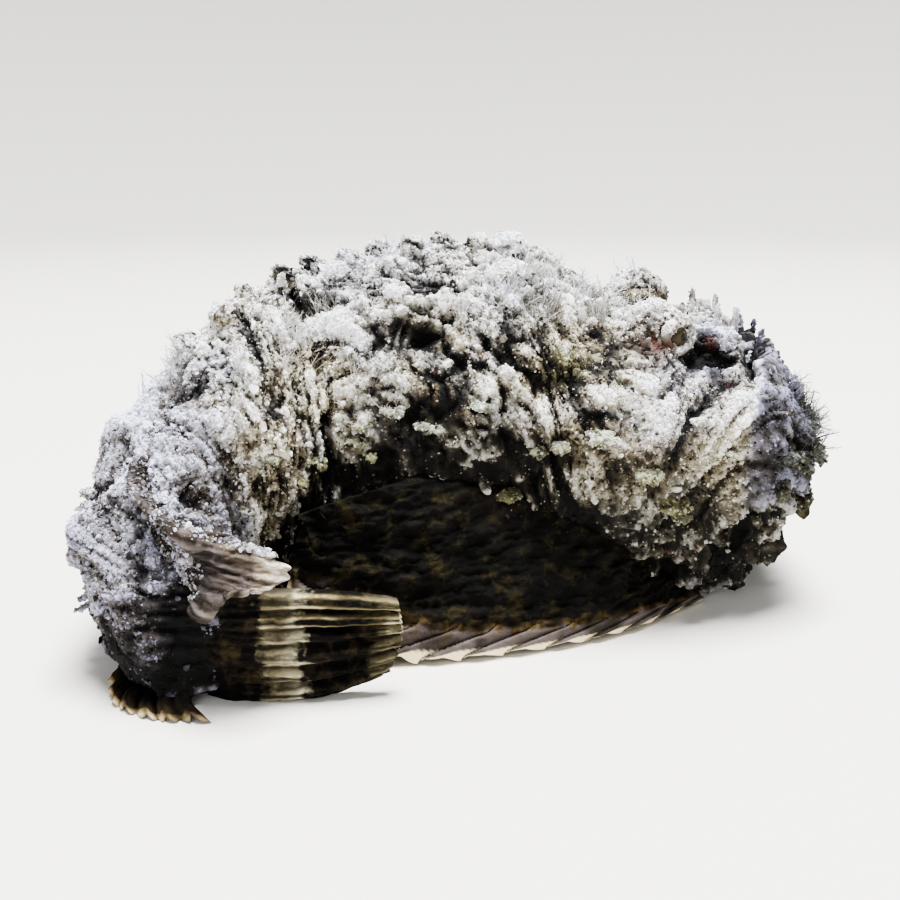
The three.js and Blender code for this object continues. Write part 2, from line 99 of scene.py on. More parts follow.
EYE = {"s": 56, "turn": 1.5, "q": 18, "z": 88.5, "tilt": 3.5, "radius": 4.6, "mound": 10.5, "proud": 0.6}
LIDS = {"ring": 5.3, "roll": 1.9, "long": 1.15, "tall": 0.8, "ahead": 2.6}
NOSTRILS = [(33, 12), (42, 10)]
SPINES = {"count": 13, "from": 76, "to": 202, "height": 5.5, "width": 15}

# Skin flaps as in the solids: (s, angle in turns, length, width, drop) of each, set on both sides.
FLAPS = [
    (8, 0.03, 10, 5, -0.8), (12, 0.95, 8, 8, -0.8), (19, 0.89, 8, 9, -0.7), (28, 0.84, 6, 8, -0.5),
    (15, 0.12, 6, 5, 0.1), (6, 0.86, 7, 7, -0.8), (22, 0.98, 8, 7, -0.6),
    (47, 0.93, 8, 9, -0.6), (57, 0.97, 8, 10, -0.6), (36, 0.2, 5, 2.5, 0.7), (29, 0.21, 4.5, 2.5, 0.7),
    (50, 0.04, 7, 8, -0.5), (78, 0.02, 8, 9, -0.6), (67, 0.99, 7, 8, -0.5),
]


# Numbers and fields.

def smooth(x, low, high):
    """0 below low, 1 above high, and 3t^2 - 2t^3 between them."""
    t = np.clip((x - low) / (high - low), 0, 1)
    return t * t * (3 - 2 * t)


def bump(x, centre, spread):
    """A bell that is 1 at the centre: e to the minus square of the distance over the spread."""
    return np.exp(-(((x - centre) / spread) ** 2))


def mix(a, b, t):
    """The value at the share t of the way from a to b."""
    return a + (b - a) * t


def fraction(x):
    """What a number has past its whole part."""
    return x - np.floor(x)


def line(points, x):
    """A line through (x, value) pairs, straight between them and level past its ends."""
    return np.interp(x, *np.array(points, float).T)


def stacked(*parts):
    """Coordinates of any matching shapes as points."""
    return np.stack(np.broadcast_arrays(*parts), axis=-1)


def turns(count):
    """This many equal steps round a circle, in radians."""
    return np.arange(count) * 2 * math.pi / count


def circle(one, two, turn):
    """Points of a circle through two directions: one by the turn's cosine and two by its sine."""
    return one * np.cos(turn) + two * np.sin(turn)


def unit(vectors):
    """Each vector over its own length."""
    return vectors / np.maximum(np.linalg.norm(vectors, axis=-1, keepdims=True), 1e-9)


def profile(points, s):
    """A curve through (s, value) pairs: cubic Hermite, each slope taken from the pairs on both sides."""
    at, value = np.array(points, float).T
    i = np.clip(np.searchsorted(at, s, side="left") - 1, 0, len(at) - 2)
    before, after = np.maximum(i - 1, 0), np.minimum(i + 2, len(at) - 1)
    span = at[i + 1] - at[i]
    t = np.clip((s - at[i]) / span, 0, 1)
    slope_in = (value[i + 1] - value[before]) / (at[i + 1] - at[before]) * span
    slope_out = (value[after] - value[i]) / (at[after] - at[i]) * span
    return (
        (2 * t**3 - 3 * t**2 + 1) * value[i] + (t**3 - 2 * t**2 + t) * slope_in
        + (3 * t**2 - 2 * t**3) * value[i + 1] + (t**3 - t**2) * slope_out
    )


def curve(points, u):
    """A centripetal Catmull-Rom curve through the points, read at u from 0 to 1 with equal steps a span."""
    p = np.array(points, float)
    p = np.vstack([2 * p[0] - p[1], p, 2 * p[-1] - p[-2]])
    spans = len(points) - 1
    place_in = np.clip(np.asarray(u, float) * spans, 0, spans)
    i = np.minimum(place_in.astype(int), spans - 1)
    t = (place_in - i)[..., None]
    a, b, c, d = (p[i + k] for k in range(4))
    steps = (b - a, c - b, d - c)
    da, db, dc = (np.sqrt(np.linalg.norm(step, axis=-1, keepdims=True)) for step in steps)
    leave = ((b - a) / da - (c - a) / (da + db) + (c - b) / db) * db
    arrive = ((c - b) / db - (d - b) / (db + dc) + (d - c) / dc) * db
    return b + leave * t + (3 * (c - b) - 2 * leave - arrive) * t**2 + (2 * (b - c) + leave + arrive) * t**3


def hashed(cell, seed):
    """A fixed number from 0 to 1 for each whole-number cell: its numbers multiplied, mixed and folded."""
    cell = cell.astype(np.uint64)
    x, y, z = (cell[..., k] * np.uint64(prime) for k, prime in enumerate((374761393, 668265263, 2246822519)))
    h = (x + y + z + np.uint64(seed * 974634777)) & np.uint64(0xFFFFFFFF)
    for shift, prime in ((13, 1274126177), (16, 2654435761)):
        h = ((h ^ (h >> np.uint64(shift))) * np.uint64(prime)) & np.uint64(0xFFFFFFFF)
    return (h ^ (h >> np.uint64(15))).astype(float) / 0xFFFFFFFF


def noise(points, size, seed):
    """A smooth random field from -1 to 1: the numbers at a cell's eight corners, eased into each other."""
    scaled = points / size + 512.5
    cell = np.floor(scaled).astype(np.int64)
    part = scaled - cell
    ease = part**3 * (part * (part * 6 - 15) + 10)
    total = 0
    for corner in np.ndindex(2, 2, 2):
        weight = np.prod(np.where(corner, ease, 1 - ease), axis=-1)
        total = total + weight * hashed(cell + np.array(corner), seed)
    return 2 * total - 1


def rough(points, size, octaves, seed):
    """Noise upon noise, each layer half as wide and half as strong as the last."""
    return sum(0.5**k * noise(points, size * 0.5**k, seed + k) for k in range(octaves))


def lumps(points, size, seed):
    """One scattered point a cell: (height of the dome round the nearest, gap to the next, its number)."""
    scaled = points / size + 512.5
    cell = np.floor(scaled).astype(np.int64)
    first = np.full(points.shape[:-1], 9.0)
    second = first.copy()
    number = first.copy()
    for step in np.ndindex(3, 3, 3):
        near = cell + np.array(step) - 1
        jitter = np.stack([hashed(near, seed + k) for k in range(3)], axis=-1)
        far = np.linalg.norm(near + jitter - scaled, axis=-1)
        closer = far < first
        second = np.where(closer, first, np.minimum(second, far))
        number = np.where(closer, hashed(near, seed + 7), number)
        first = np.where(closer, far, first)
    return np.clip(1 - first**2, 0, 1), second - first, number


# The body's plain form, repeated from the solids.

def midline_table():
    """Points and directions at every quarter millimetre of the midline."""
    u = np.linspace(0, 1, 12001)
    xy = curve(MIDLINE, u)[:, :2]
    run = np.concatenate([[0], np.cumsum(np.linalg.norm(np.diff(xy, axis=0), axis=1))])
    at = np.arange(0, run[-1], 0.25)
    x, y = (np.interp(at, run, xy[:, k]) for k in range(2))
    along = unit(np.stack([np.gradient(x), np.gradient(y)], axis=1))
    return at, x, y, along[:, 0], along[:, 1]


TABLE = midline_table()


def place(s, q, z):
    """The point at s along the midline, q to the left of it and z up."""
    x, y, ax, ay = (np.interp(s, TABLE[0], column) for column in TABLE[1:])
    return stacked(x + ay * q, y - ax * q, z)


def section(s, angle):
    """A lopsided superellipse, fullest at the widest height and drawn in over brow, throat and nose."""
    upwards = np.sqrt(np.clip(1 - (1 - np.minimum(s / BROW_REACH, 1)) ** 2, 0, 1))
    downwards = np.clip(1 - (1 - np.minimum(s / THROAT_REACH, 1)) ** 2, 0, 1) ** 0.85
    in_width = np.clip(1 - (1 - np.minimum(s / NOSE_REACH, 1)) ** 2.2, 0, 1) ** (1 / 2.2)
    top = mix(CHIN_HEIGHT, profile(BACK, s), upwards)
    bottom = mix(CHIN_HEIGHT, profile(BELLY, s), downwards)
    middle = mix(CHIN_HEIGHT, profile(WIDEST_HEIGHT, s), upwards)
    half = profile(HALF_WIDTH, s) * in_width
    c, h = np.cos(angle), np.sin(angle)
    power = np.where(h > 0, 2 / 1.9, 2 / 2.4)
    rise = np.where(h > 0, top - middle, middle - bottom)
    return half * np.sign(c) * np.abs(c) ** power, middle + rise * np.sign(h) * np.abs(h) ** power


def warts():
    """The solids' large warts: (place, radius, height) of each, spread by three steady fractions."""
    i = np.arange(170)
    s = 5 + 237 * fraction(0.5 + i * 0.7548776662)
    angle = math.pi * (-0.12 + 1.24 * fraction(0.5 + i * 0.5698402910))
    size = fraction(0.5 + i * 0.6180339887)
    q, z = section(s, angle)
    return place(s, q, z), mix(4.5, 8.5, size), mix(1.4, 3.8, size)


def hollows(s, q, z):
    """The right flank's deep hollows, each from 0 to 1: under the arch of the back, and behind the cheek."""
    right = q < 0
    arch = smooth(s, 119, 123) * (1 - smooth(s, 131, 147)) * bump(z, 89 - 0.25 * np.abs(s - 129), 9)
    return arch * right, bump(s, 88 - 0.5 * (z - 50), 6) * bump(z, 55, 10) * right


def relief(s, q, z, at):
    """How far the skin stands off the section, as in the solids: warts, cheek, hollows and chin folds."""
    off = np.zeros(at.shape[:-1])
    for where, radius, height in zip(*warts()):
        off += height * np.exp(-np.sum((at - where) ** 2, axis=-1) / radius**2)
    flank = smooth(np.abs(q), 12, 30)
    off += 4.5 * bump(s, 62, 24) * bump(z, 58, 20) * flank
    off -= 3.2 * bump(s, 101, 9) * bump(z, 54, 20) * flank
    off -= 5 * bump(s, 37, 8) * bump(np.abs(q), 30, 8) * smooth(z, 60, 70)
    off -= 2.5 * bump(s, 122, 36) * bump(z, 32, 16) * flank
    off += 1.6 * np.cos((s + 0.2 * z) * 0.72) * bump(s, 38, 26) * bump(z, 26, 18)
    arch, notch = hollows(s, q, z)
    off -= 4 * arch + 3 * notch
    return off * smooth(s, 0, 7) * (1 - 0.6 * smooth(s, 240, 268)) * smooth(z, 0, 8)


def plain_skin(s, angle, extra):
    """The skin before its fine relief: (points, q, z), moved off the section by the relief and extra."""
    q, z = section(s, angle)
    q_next, z_next = section(s, angle + 0.01)
    q_last, z_last = section(s, angle - 0.01)
    dq, dz = q_next - q_last, z_next - z_last
    run = np.maximum(np.hypot(dq, dz), 1e-9)
    off = relief(s, q, z, place(s, q, z)) + extra
    return place(s, q + off * dz / run, np.maximum(z - off * dq / run, 0.1)), q, z


def top_of_back(s):
    """The height of the skin along the middle of the back."""
    s = np.atleast_1d(np.asarray(s, float))
    return plain_skin(s, np.full_like(s, math.pi / 2), 0)[0][..., 2]


# Meshes.

def grid_quads(rows, columns, wrap=False):
    """The four corners of each cell of a grid whose points are listed row by row."""
    across = columns if wrap else columns - 1
    r, c = np.meshgrid(np.arange(rows - 1), np.arange(across), indexing="ij")
    a = (r * columns + c).ravel()
    b = (r * columns + (c + 1) % columns).ravel()
    return np.stack([a, b, b + columns, a + columns], axis=1)


def grid_normals(points, wrap=False):
    """Across-by-along cross product of each grid point's central differences."""
    along = np.gradient(points, axis=0)
    if wrap:
        across = np.roll(points, -1, axis=1) - np.roll(points, 1, axis=1)
    else:
        across = np.gradient(points, axis=1)
    return unit(np.cross(along, across))


def volume(points, faces):
    """The signed volume inside a closed surface: positive when its faces are turned outwards."""
    return sum(
        np.einsum("ij,ij->i", points[f[:, 0]], np.cross(points[f[:, k]], points[f[:, k + 1]])).sum()
        for f in faces for k in range(1, f.shape[1] - 1)
    )


def closed_tube(ring):
    """A tube from rows of points, each end closed by a fan to its middle: (points, [quads, triangles])."""
    rows, columns = ring.shape[:2]
    k = np.arange(columns)
    last = (rows - 1) * columns + k
    fans = [
        np.stack([np.full(columns, rows * columns), np.roll(k, -1), k], axis=1),
        np.stack([np.full(columns, rows * columns + 1), last, np.roll(last, -1)], axis=1),
    ]
    points = np.concatenate([ring.reshape(-1, 3), [ring[0].mean(axis=0), ring[-1].mean(axis=0)]])
    return points, [grid_quads(rows, columns, wrap=True), np.concatenate(fans)]


def closed_loop(ring):
    """A ring-shaped tube from rows of points, its last row joined to its first: (points, [quads])."""
    rows, columns = ring.shape[:2]
    return ring.reshape(-1, 3), [grid_quads(rows + 1, columns, wrap=True) % (rows * columns)]


def joined(parts):
    """Several closed forms, each turned outwards, as one: (points, faces, attributes)."""
    points, faces, fields = [], {3: [], 4: []}, []
    base = 0
    for at, sides, kept in parts:
        inside_out = volume(at, sides) < 0
        for f in sides:
            faces[f.shape[1]].append((f[:, ::-1] if inside_out else f) + base)
        points.append(at)
        fields.append({key: np.broadcast_to(value, len(at)) for key, value in kept.items()})
        base += len(at)
    together = {key: np.concatenate([kept[key] for kept in fields]) for key in fields[0]}
    return np.concatenate(points), [np.concatenate(f) for f in faces.values() if f], together


def add_mesh(name, points, faces, material, nodes=(), fields=None, corners=None, rounded=True):
    """A finished piece from points in millimetres and lists of equal-sided faces, turned outwards.

    Fields are numbers a point, kept as attributes. Corners are the OFBake map's places, one a face corner.
    A piece that isn't rounded is shaded facet by facet.
    """
    points = np.asarray(points, float).reshape(-1, 3) * MM
    if volume(points, faces) < 0:
        faces = [f[:, ::-1] for f in faces]
        corners = [c[:, ::-1] for c in corners] if corners else None
    sides = np.concatenate([np.full(len(f), f.shape[1]) for f in faces])
    loops = np.concatenate([f.ravel() for f in faces])
    mesh = bpy.data.meshes.new(name)
    mesh.vertices.add(len(points))
    mesh.vertices.foreach_set("co", points.ravel())
    mesh.loops.add(len(loops))
    mesh.loops.foreach_set("vertex_index", loops.astype(np.int32))
    mesh.polygons.add(len(sides))
    mesh.polygons.foreach_set("loop_start", (np.cumsum(sides) - sides).astype(np.int32))
    mesh.polygons.foreach_set("use_smooth", np.full(len(sides), rounded))
    mesh.update(calc_edges=True)
    for key, values in (fields or {}).items():
        attribute = mesh.attributes.new(key, "FLOAT", "POINT")
        attribute.data.foreach_set("value", np.broadcast_to(values, len(points)).astype(np.float32).ravel())
    if corners:
        layer = mesh.uv_layers.new(name="OFBake")
        places = np.concatenate([c.reshape(-1, 2) for c in corners])
        layer.uv.foreach_set("vector", places.astype(np.float32).ravel())
    mesh.materials.append(material)
    piece = bpy.data.objects.new(name, mesh)
    bpy.context.scene.collection.objects.link(piece)
    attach(piece, "root")
    if nodes:
        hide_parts(*nodes)
    return piece


def add_joined(name, parts, material, nodes=()):
    """Closed forms of the skin's own make as one finished piece."""
    points, faces, kept = joined(parts)
    return add_mesh(name, points, faces, material, nodes, kept)


# Materials.

def linear(code):
    """An sRGB hex colour as linear red, green and blue."""
    channels = [int(code[k : k + 2], 16) / 255 for k in (1, 3, 5)]
    return tuple(c / 12.92 if c <= 0.04045 else ((c + 0.055) / 1.055) ** 2.4 for c in channels)


def node(tree, kind, inputs=(), output=0, stops=(), **settings):
    """Adds a shader node with its settings and links, and returns one of its outputs.

    Inputs go in order, or by name or number. Each is a number, an sRGB hex colour, a linear colour or the
    output of another node. Stops are a ramp's (place, hex colour) pairs.
    """
    made = tree.nodes.new(f"ShaderNode{kind}")
    for key, value in settings.items():
        setattr(made, key, value)
    for key, value in inputs.items() if isinstance(inputs, dict) else enumerate(inputs):
        if isinstance(value, bpy.types.NodeSocket):
            tree.links.new(value, made.inputs[key])
        else:
            made.inputs[key].default_value = (*linear(value), 1) if isinstance(value, str) else value
    if stops:
        made.color_ramp.elements.remove(made.color_ramp.elements[1])
    for k, (at, code) in enumerate(stops):
        element = made.color_ramp.elements.new(at) if k else made.color_ramp.elements[0]
        element.position = at
        element.color = (*linear(code), 1)
    return made.outputs[output] if made.outputs else made


def start_material(name):
    """An empty material, and the function that adds a node to it."""
    material = bpy.data.materials.new(name)
    material.use_nodes = True
    material.node_tree.nodes.clear()
    return material, functools.partial(node, material.node_tree)


def grains(add, millimetres, detail=3.0, roughness=0.6):
    """Noise whose grains are this many millimetres across, in the piece's own place."""
    where = add("TexCoord", output="Object")
    inputs = {"Vector": where, "Scale": 1 / (millimetres * MM), "Detail": detail, "Roughness": roughness}
    return add("TexNoise", inputs, "Fac")


def lay_over(add, colour, layers):
    """Layers laid over a colour in turn: (numbers whose product is its strength, its colour, its mode)."""
    for numbers, tone, mode in layers:
        strength = functools.reduce(lambda a, b: add("Math", (a, b), operation="MULTIPLY"), numbers)
        colour = add("Mix", {0: strength, 6: colour, 7: tone}, 2, data_type="RGBA", blend_type=mode)
    return colour


def finish(add, inputs):
    """The shader with these inputs as the material's surface."""
    add("OutputMaterial", {"Surface": add("BsdfPrincipled", inputs, "BSDF")})


def finish_rough(add, colour, roughness, height, depth, specular):
    """A rough coated surface: the colour, a fine bump of this depth in millimetres, and a soft gloss."""
    bumped = add("Bump", {"Strength": 1.0, "Distance": depth * MM, "Height": height}, "Normal")
    inputs = {"Base Color": colour, "Normal": bumped, "Roughness": roughness, "Specular IOR Level": specular}
    finish(add, inputs)


def crusted_skin(name, colours):
    """Warty skin under silt and algae: dark in its pits, partly as painted crevice shade, beige on its
    lumps, near white under silt and painted top light, and darkened by painted shade.
    """
    material, add = start_material(name)
    marks = (add("Attribute", output="Fac", attribute_name=key) for key in FIELDS)
    crest, silt, mauve, moss, shade, rust = marks
    mottle = add("Math", (grains(add, 2.6), 0.8, -0.4), operation="MULTIPLY_ADD")
    level = add("Math", (crest, mottle), operation="ADD", use_clamp=True)
    # Near black in the pits: partly the dark skin, partly painted shade in the crevices.
    crust = add("ValToRGB", (level,), stops=(
        (0.0, "#090a0c"), (0.2, "#1f1b18"), (0.38, "#4d4434"), (0.56, "#89806b"), (0.76, "#beb8a5"),
        (1.0, "#ebe9e2"),
    ))
    clouds = add("Math", (grains(add, 16, 2), 0.3), operation="ADD")
    stains = add("Math", (grains(add, 6, 4), 0.6), operation="GREATER_THAN")
    # Crests keep part of their light under the painted shade: painted highlights on the ridge tops.
    spared = add("Math", (level, -1.15, 1.75), operation="MULTIPLY_ADD", use_clamp=True)
    patchy = add("Math", (grains(add, 1.8, 4), 3.4, -1.2), operation="MULTIPLY_ADD", use_clamp=True)
    flecks = add("Math", (grains(add, 1.5, 2, 0.5), 0.71), operation="GREATER_THAN")
    raised = add("Math", (level, 0.3), operation="GREATER_THAN")
    lit = add("Math", (1.0, shade), operation="SUBTRACT")
    where = add("TexCoord", output="Object")
    cells = add("TexVoronoi", {"Vector": where, "Scale": 1 / (9 * MM)}, "Distance")
    spots = add("Math", (cells, 0.11), operation="LESS_THAN")  # 2 mm wide, one in each 9 mm at most
    few = add("Math", (grains(add, 40, 1), 0.6), operation="GREATER_THAN")
    broken = add("Math", (grains(add, 1.4, 3), 0.48), operation="GREATER_THAN")
    colour = lay_over(add, crust, (
        ((mauve, clouds), "#aaabc6", "MULTIPLY"),
        ((moss, 0.75), (*colours.moss, 1), "MULTIPLY"),
        ((stains, 0.4), "#8a6a45", "MULTIPLY"),
        # Painted shade, lighter on the crests.
        ((shade, spared), "#252323", "MULTIPLY"),
        # Silt, and with it painted top light, whitest on the crests.
        ((silt, level, level, patchy, 3.0), (*colours.silt, 1), "MIX"),
        ((mauve,), "#dddff2", "MULTIPLY"),
        ((flecks, raised, lit, 0.7), "#efeadf", "MIX"),
        ((spots, few, broken, 0.4), (*colours.coralline, 1), "MIX"),
        ((rust, 0.8), "#4d231c", "MIX"),
    ))
    finish_rough(add, colour, 0.8, grains(add, 0.9, 4), 0.5, 0.2)
    return material


def fin_membrane(name, stops, ray_tone, mottle_tone, folded=0.0, lines=0):
    """Fin skin: colour bands from root to margin, mottled, darker between the rays, and with painted shade
    in its creases.

    A folded fin shows its pale upper rays, and the strands of a roped margin end in cream tips. Lines is how
    many fine dark lines run along the fin.
    """
    material, add = start_material(name)
    keys = ("outward", "upward", "ray", "depth", "tip")
    outward, upward, ray, depth, tip = (add("Attribute", output="Fac", attribute_name=key) for key in keys)
    wander = add("Math", (grains(add, 4, 4), 0.3, -0.15), operation="MULTIPLY_ADD")
    outward = add("Math", (outward, wander), operation="ADD", use_clamp=True)
    between = add("Math", (1.0, ray), operation="SUBTRACT", use_clamp=True)
    # Painted shade in the creases of the fin.
    painted_crease_shade = add("Math", (1.0, depth), operation="SUBTRACT", use_clamp=True)
    layers = [((between, 0.85), ray_tone, "MULTIPLY"), ((painted_crease_shade, 0.7), "#3a2f22", "MULTIPLY")]
    if folded:
        upper = add("Math", (upward, folded), operation="LESS_THAN")
        past_root = add("Math", (outward, 0.32), operation="GREATER_THAN")
        layers.insert(0, ((ray, ray, ray, upper, past_root, 0.8), "#c9bb8c", "MIX"))
    if lines:
        sway = add("Math", (grains(add, 5, 3), 9.0), operation="MULTIPLY")
        wave = add("Math", (upward, 2 * math.pi * lines, sway), operation="MULTIPLY_ADD")
        wave = add("Math", (wave,), operation="SINE")
        drawn = add("Math", (wave, 0.5, 0.15), operation="MULTIPLY_ADD", use_clamp=True)
        layers.append(((drawn,), ray_tone, "MULTIPLY"))
    mottled = add("Math", (grains(add, 6, 6, 0.7), 5.0, -2.6), operation="MULTIPLY_ADD", use_clamp=True)
    layers += [((mottled, 0.5), mottle_tone, "MIX"), ((tip,), "#ecdcb6", "MIX")]
    colour = lay_over(add, add("ValToRGB", (outward,), stops=stops), layers)
    finish_rough(add, colour, 0.85, grains(add, 1.0, 5), 0.5, 0.12)
    return material


# User settings.

class StonefishSizes(bpy.types.PropertyGroup):
    """Sizes that a user would change."""

    coat: bpy.props.FloatProperty(
        name="Coat depth", description="How far the skin lies inside the solids, which the coat fills",
        default=1.0 * MM, min=0, soft_max=3 * MM, unit="LENGTH", precision=4,
    )
    crust: bpy.props.FloatProperty(
        name="Crust relief", description="How strongly the crust is broken into lumps and pits",
        default=1.0, min=0, max=2, subtype="FACTOR",
    )
    crumb: bpy.props.FloatProperty(
        name="Crumb size", description="Width of the middling crumbs of silt and coralline crust",
        default=1.05 * MM, min=0.3 * MM, soft_max=3 * MM, unit="LENGTH", precision=4,
    )
    crumbs: bpy.props.IntProperty(
        name="Grains a piece", description="How many fine grains each coat piece holds",
        default=24000, min=100, max=24900,
    )
    threads: bpy.props.IntProperty(
        name="Threads a piece", description="How many algae threads each turf piece holds",
        default=9000, min=100, max=9500,
    )


SWATCH = {"subtype": "COLOR", "min": 0, "max": 1}


class StonefishColours(bpy.types.PropertyGroup):
    """Colours that a user would change."""

    # The silt's colour, which also paints the top light.
    silt: bpy.props.FloatVectorProperty(
        name="Silt", description="Pale silt on the upper side", default=linear("#ebedf2"), **SWATCH,
    )
    moss: bpy.props.FloatVectorProperty(
        name="Algae film", description="Olive film on the nape", default=linear("#8f9a62"), **SWATCH,
    )
    coralline: bpy.props.FloatVectorProperty(
        name="Coralline spots", description="Scattered red spots", default=linear("#7e3434"), **SWATCH,
    )
    floor: bpy.props.FloatVectorProperty(
        name="Floor", description="The studio floor", default=linear("#dcdad5"), **SWATCH,
    )


# The body's skin.

RINGS_OF_FACE = 84
RINGS_OF_BODY = 298
ROUND_BODY = 256
FACE_DEPTH = 34  # length of the blunt face, where rings are spaced by angle
BELLY_SPARSE = 0.35  # how much wider the columns are under the belly than on average


def body_grid():
    """Stations and angles of the skin's grid, as columns and rows: rings close on the face, then even."""
    turn = np.linspace(0.02, math.pi / 2, RINGS_OF_FACE, endpoint=False)
    face = FACE_DEPTH * (1 - np.cos(turn))
    body = np.linspace(FACE_DEPTH, BODY_LENGTH, RINGS_OF_BODY)
    t = np.arange(ROUND_BODY) / ROUND_BODY
    angle = -math.pi / 2 + 2 * math.pi * t + BELLY_SPARSE * np.sin(2 * math.pi * t)
    return np.concatenate([face, body])[:, None], angle[None, :]


def sphere_over(points, origin, centre, radius, inwards=False):
    """Points on rays from the origin, moved out to a sphere's far side or back to its near side."""
    way = points - origin
    far = np.linalg.norm(way, axis=-1)
    way = way / far[..., None]
    to_centre = centre - origin
    middle = way @ to_centre
    inside = middle**2 - to_centre @ to_centre + radius**2
    half = np.sqrt(np.maximum(inside, 0))
    if inwards:
        behind = (inside > 0) & (far > middle - half) & (far < middle + half + 2)
        moved = np.where(behind, middle - half, far)
    else:
        moved = np.where(inside > 0, np.maximum(far, middle + half), far)
    return origin + way * moved[..., None]


def eye_places(side):
    """(centre of the mound, centre of the eye, direction of gaze) on one side, as in the solids."""
    mound = place(EYE["s"] - side * EYE["turn"], side * EYE["q"], EYE["z"] + side * EYE["tilt"])
    gaze = unit(np.array([0.85, side, 0.12]))
    return mound, mound + gaze * (EYE["mound"] - EYE["radius"] + EYE["proud"]), gaze


def mouth_distance(points):
    """Distance in side view from the mouth's line, above it positive and below it negative."""
    xz = points[..., [0, 2]]
    best = np.full(points.shape[:-1], 1e9)
    for a, b in zip(np.array(MOUTH[:-1], float), np.array(MOUTH[1:], float)):
        t = np.clip(((xz - a) @ (b - a)) / ((b - a) @ (b - a)), 0, 1)
        off = xz - (a + t[..., None] * (b - a))
        side = np.sign((b - a)[0] * off[..., 1] - (b - a)[1] * off[..., 0])
        far = np.linalg.norm(off, axis=-1) * np.where(side < 0, 1, -1)
        best = np.where(np.abs(far) < np.abs(best), far, best)
    return best


def jaw_cover(s, z):
    """1 on the lower jaw's dome, which lies before and below the mouth's line, and 0 behind it."""
    return smooth(line([(64, 35), (79, 28), (84, 17), (88, 8)], z) - s, -2, 3) * smooth(z, 30, 50)


def pit_of_face(s, q, z):
    """1 in the dark pit before and below each eye."""
    return bump(s, 43, 7) * bump(np.abs(q), 28, 8) * smooth(z, 64, 72)


# Heights along the body: where the crust ends and the smooth flank begins, and below which painted shade
# darkens the flank.
CRUST_EDGE = [
    (0, 6), (40, 12), (84, 26), (100, 52), (150, 53), (190, 40), (215, 20), (235, 8), (250, 6), (268, 10),
]
PAINTED_SHADE_LINE = [
    (0, 52), (40, 48), (80, 46), (92, 60), (108, 72), (150, 72), (172, 61), (190, 46), (214, 24), (235, 10),
    (254, 16), (268, 40),
]


def crust_cover(s, q, z):
    """How crusted each place is, from 0 on the smooth lower flank to 1 above the crust's edge."""
    straight = stacked(s, q, z)
    wander = 7 * noise(straight, 17, 40) + 3 * noise(straight, 6, 41)
    edge = line(CRUST_EDGE, s)
    return smooth(z + wander, edge - 5, edge + 5)


def skin_fields(s, q, z, normal, height):
    """The markings that skin and coat share, each built of bells and steps at the form that it marks:
    painted shade and painted top light among them.
    """
    straight = stacked(s, q, z)
    right = q < 0
    up = normal[..., 2]
    cover = crust_cover(s, q, z)
    clouds = noise(straight, 24, 50)
    tail = smooth(s, 196, 226)
    stump = smooth(s + 4 * clouds, 253, 263)
    jaw = smooth(line([(64, 35), (79, 29)], z) - s, -2, 4) * smooth(z, 30, 50)  # up over the lips
    hollow = np.clip(1.8 * bump(s, 42, 6) * bump(np.abs(q), 26, 9) * smooth(z, 60, 72), 0, 1)
    under_arch = smooth(s, 127, 130) * (1 - smooth(s, 144, 160))
    shadow = under_arch * bump(z, 90 - 0.25 * np.abs(s - 134), 8) * right
    nape = bump(s, 82, 24) * bump(z, 84, 12)
    cheek = bump(s, 58, 26) * bump(z, 60, 14)
    socket = bump(s, 65, 5) * bump(z, 84, 3) * smooth(np.abs(q), 18, 24) * right
    slot = bump(s, 60, 4) * bump(z, 84, 2.5) * smooth(np.abs(q), 16, 22) * right
    red = bump(s, 39, 1.5) * bump(z, 83, 2.2) * right
    wisps = bump(s, 8, 9) * bump(z, 62, 9) * smooth(-q, 4, 14)
    chin = bump(s, 28, 26) * bump(z, 24, 15)
    lowest = mix(mix(50, 24, tail), 34, cheek)
    # Silt on faces turned up and high on the body, which also paints the top light; the cheek's bulge gets
    # more as painted light.
    silt = smooth(up + 0.25 * clouds + 0.3 * cheek, 0.1, 0.9) * smooth(z, lowest, lowest + 36) * cover
    for bare in (0.85 * jaw, 0.9 * nape, stump, socket, hollow, 0.8 * shadow, slot, 0.6 * wisps):
        silt = silt * (1 - bare)
    mauve = np.clip(0.8 * tail + 1.3 * jaw + hollow + 0.4 * smooth(clouds, 0.3, 0.8), 0, 1)
    moss = np.maximum(smooth(0.6 * noise(straight, 20, 52) + nape, 0.3, 0.9), wisps)
    # Painted shade below the shade line.
    low = 0.9 * smooth(line(PAINTED_SHADE_LINE, s) - z + 8 * clouds + 6 * noise(straight, 8, 53), -12, 14)
    # Painted shade in the tail's root, the eye socket, the face pit, under the arch and in the slot behind
    # the eye; on the jaw a darker tone.
    for dark in (stump, 0.9 * socket, 0.7 * hollow, 0.85 * shadow, 0.8 * slot, 0.36 * jaw):
        low = np.maximum(low, dark)
    # More painted shade on faces turned down, and a darker smooth lower flank, partly its own darker skin.
    shade = np.clip(low + (1 - cover) * 0.3 + 0.35 * smooth(-up, -0.15, 0.6), 0, 0.98)
    # A red spot in the face pit, and dark red-brown in the slot behind the right eye, which painted shade
    # darkens too.
    rust = np.clip(red + 0.7 * slot, 0, 1)
    # Painted light on the cheek's bulge and painted shade on the chin; the tail's crests are lighter.
    crest = np.clip(height + 0.07 * cheek - 0.19 * chin + 0.12 * tail * (1 - stump), 0, 1)
    return {"crest": crest, "silt": silt, "mauve": mauve, "moss": moss, "shade": shade, "rust": rust}


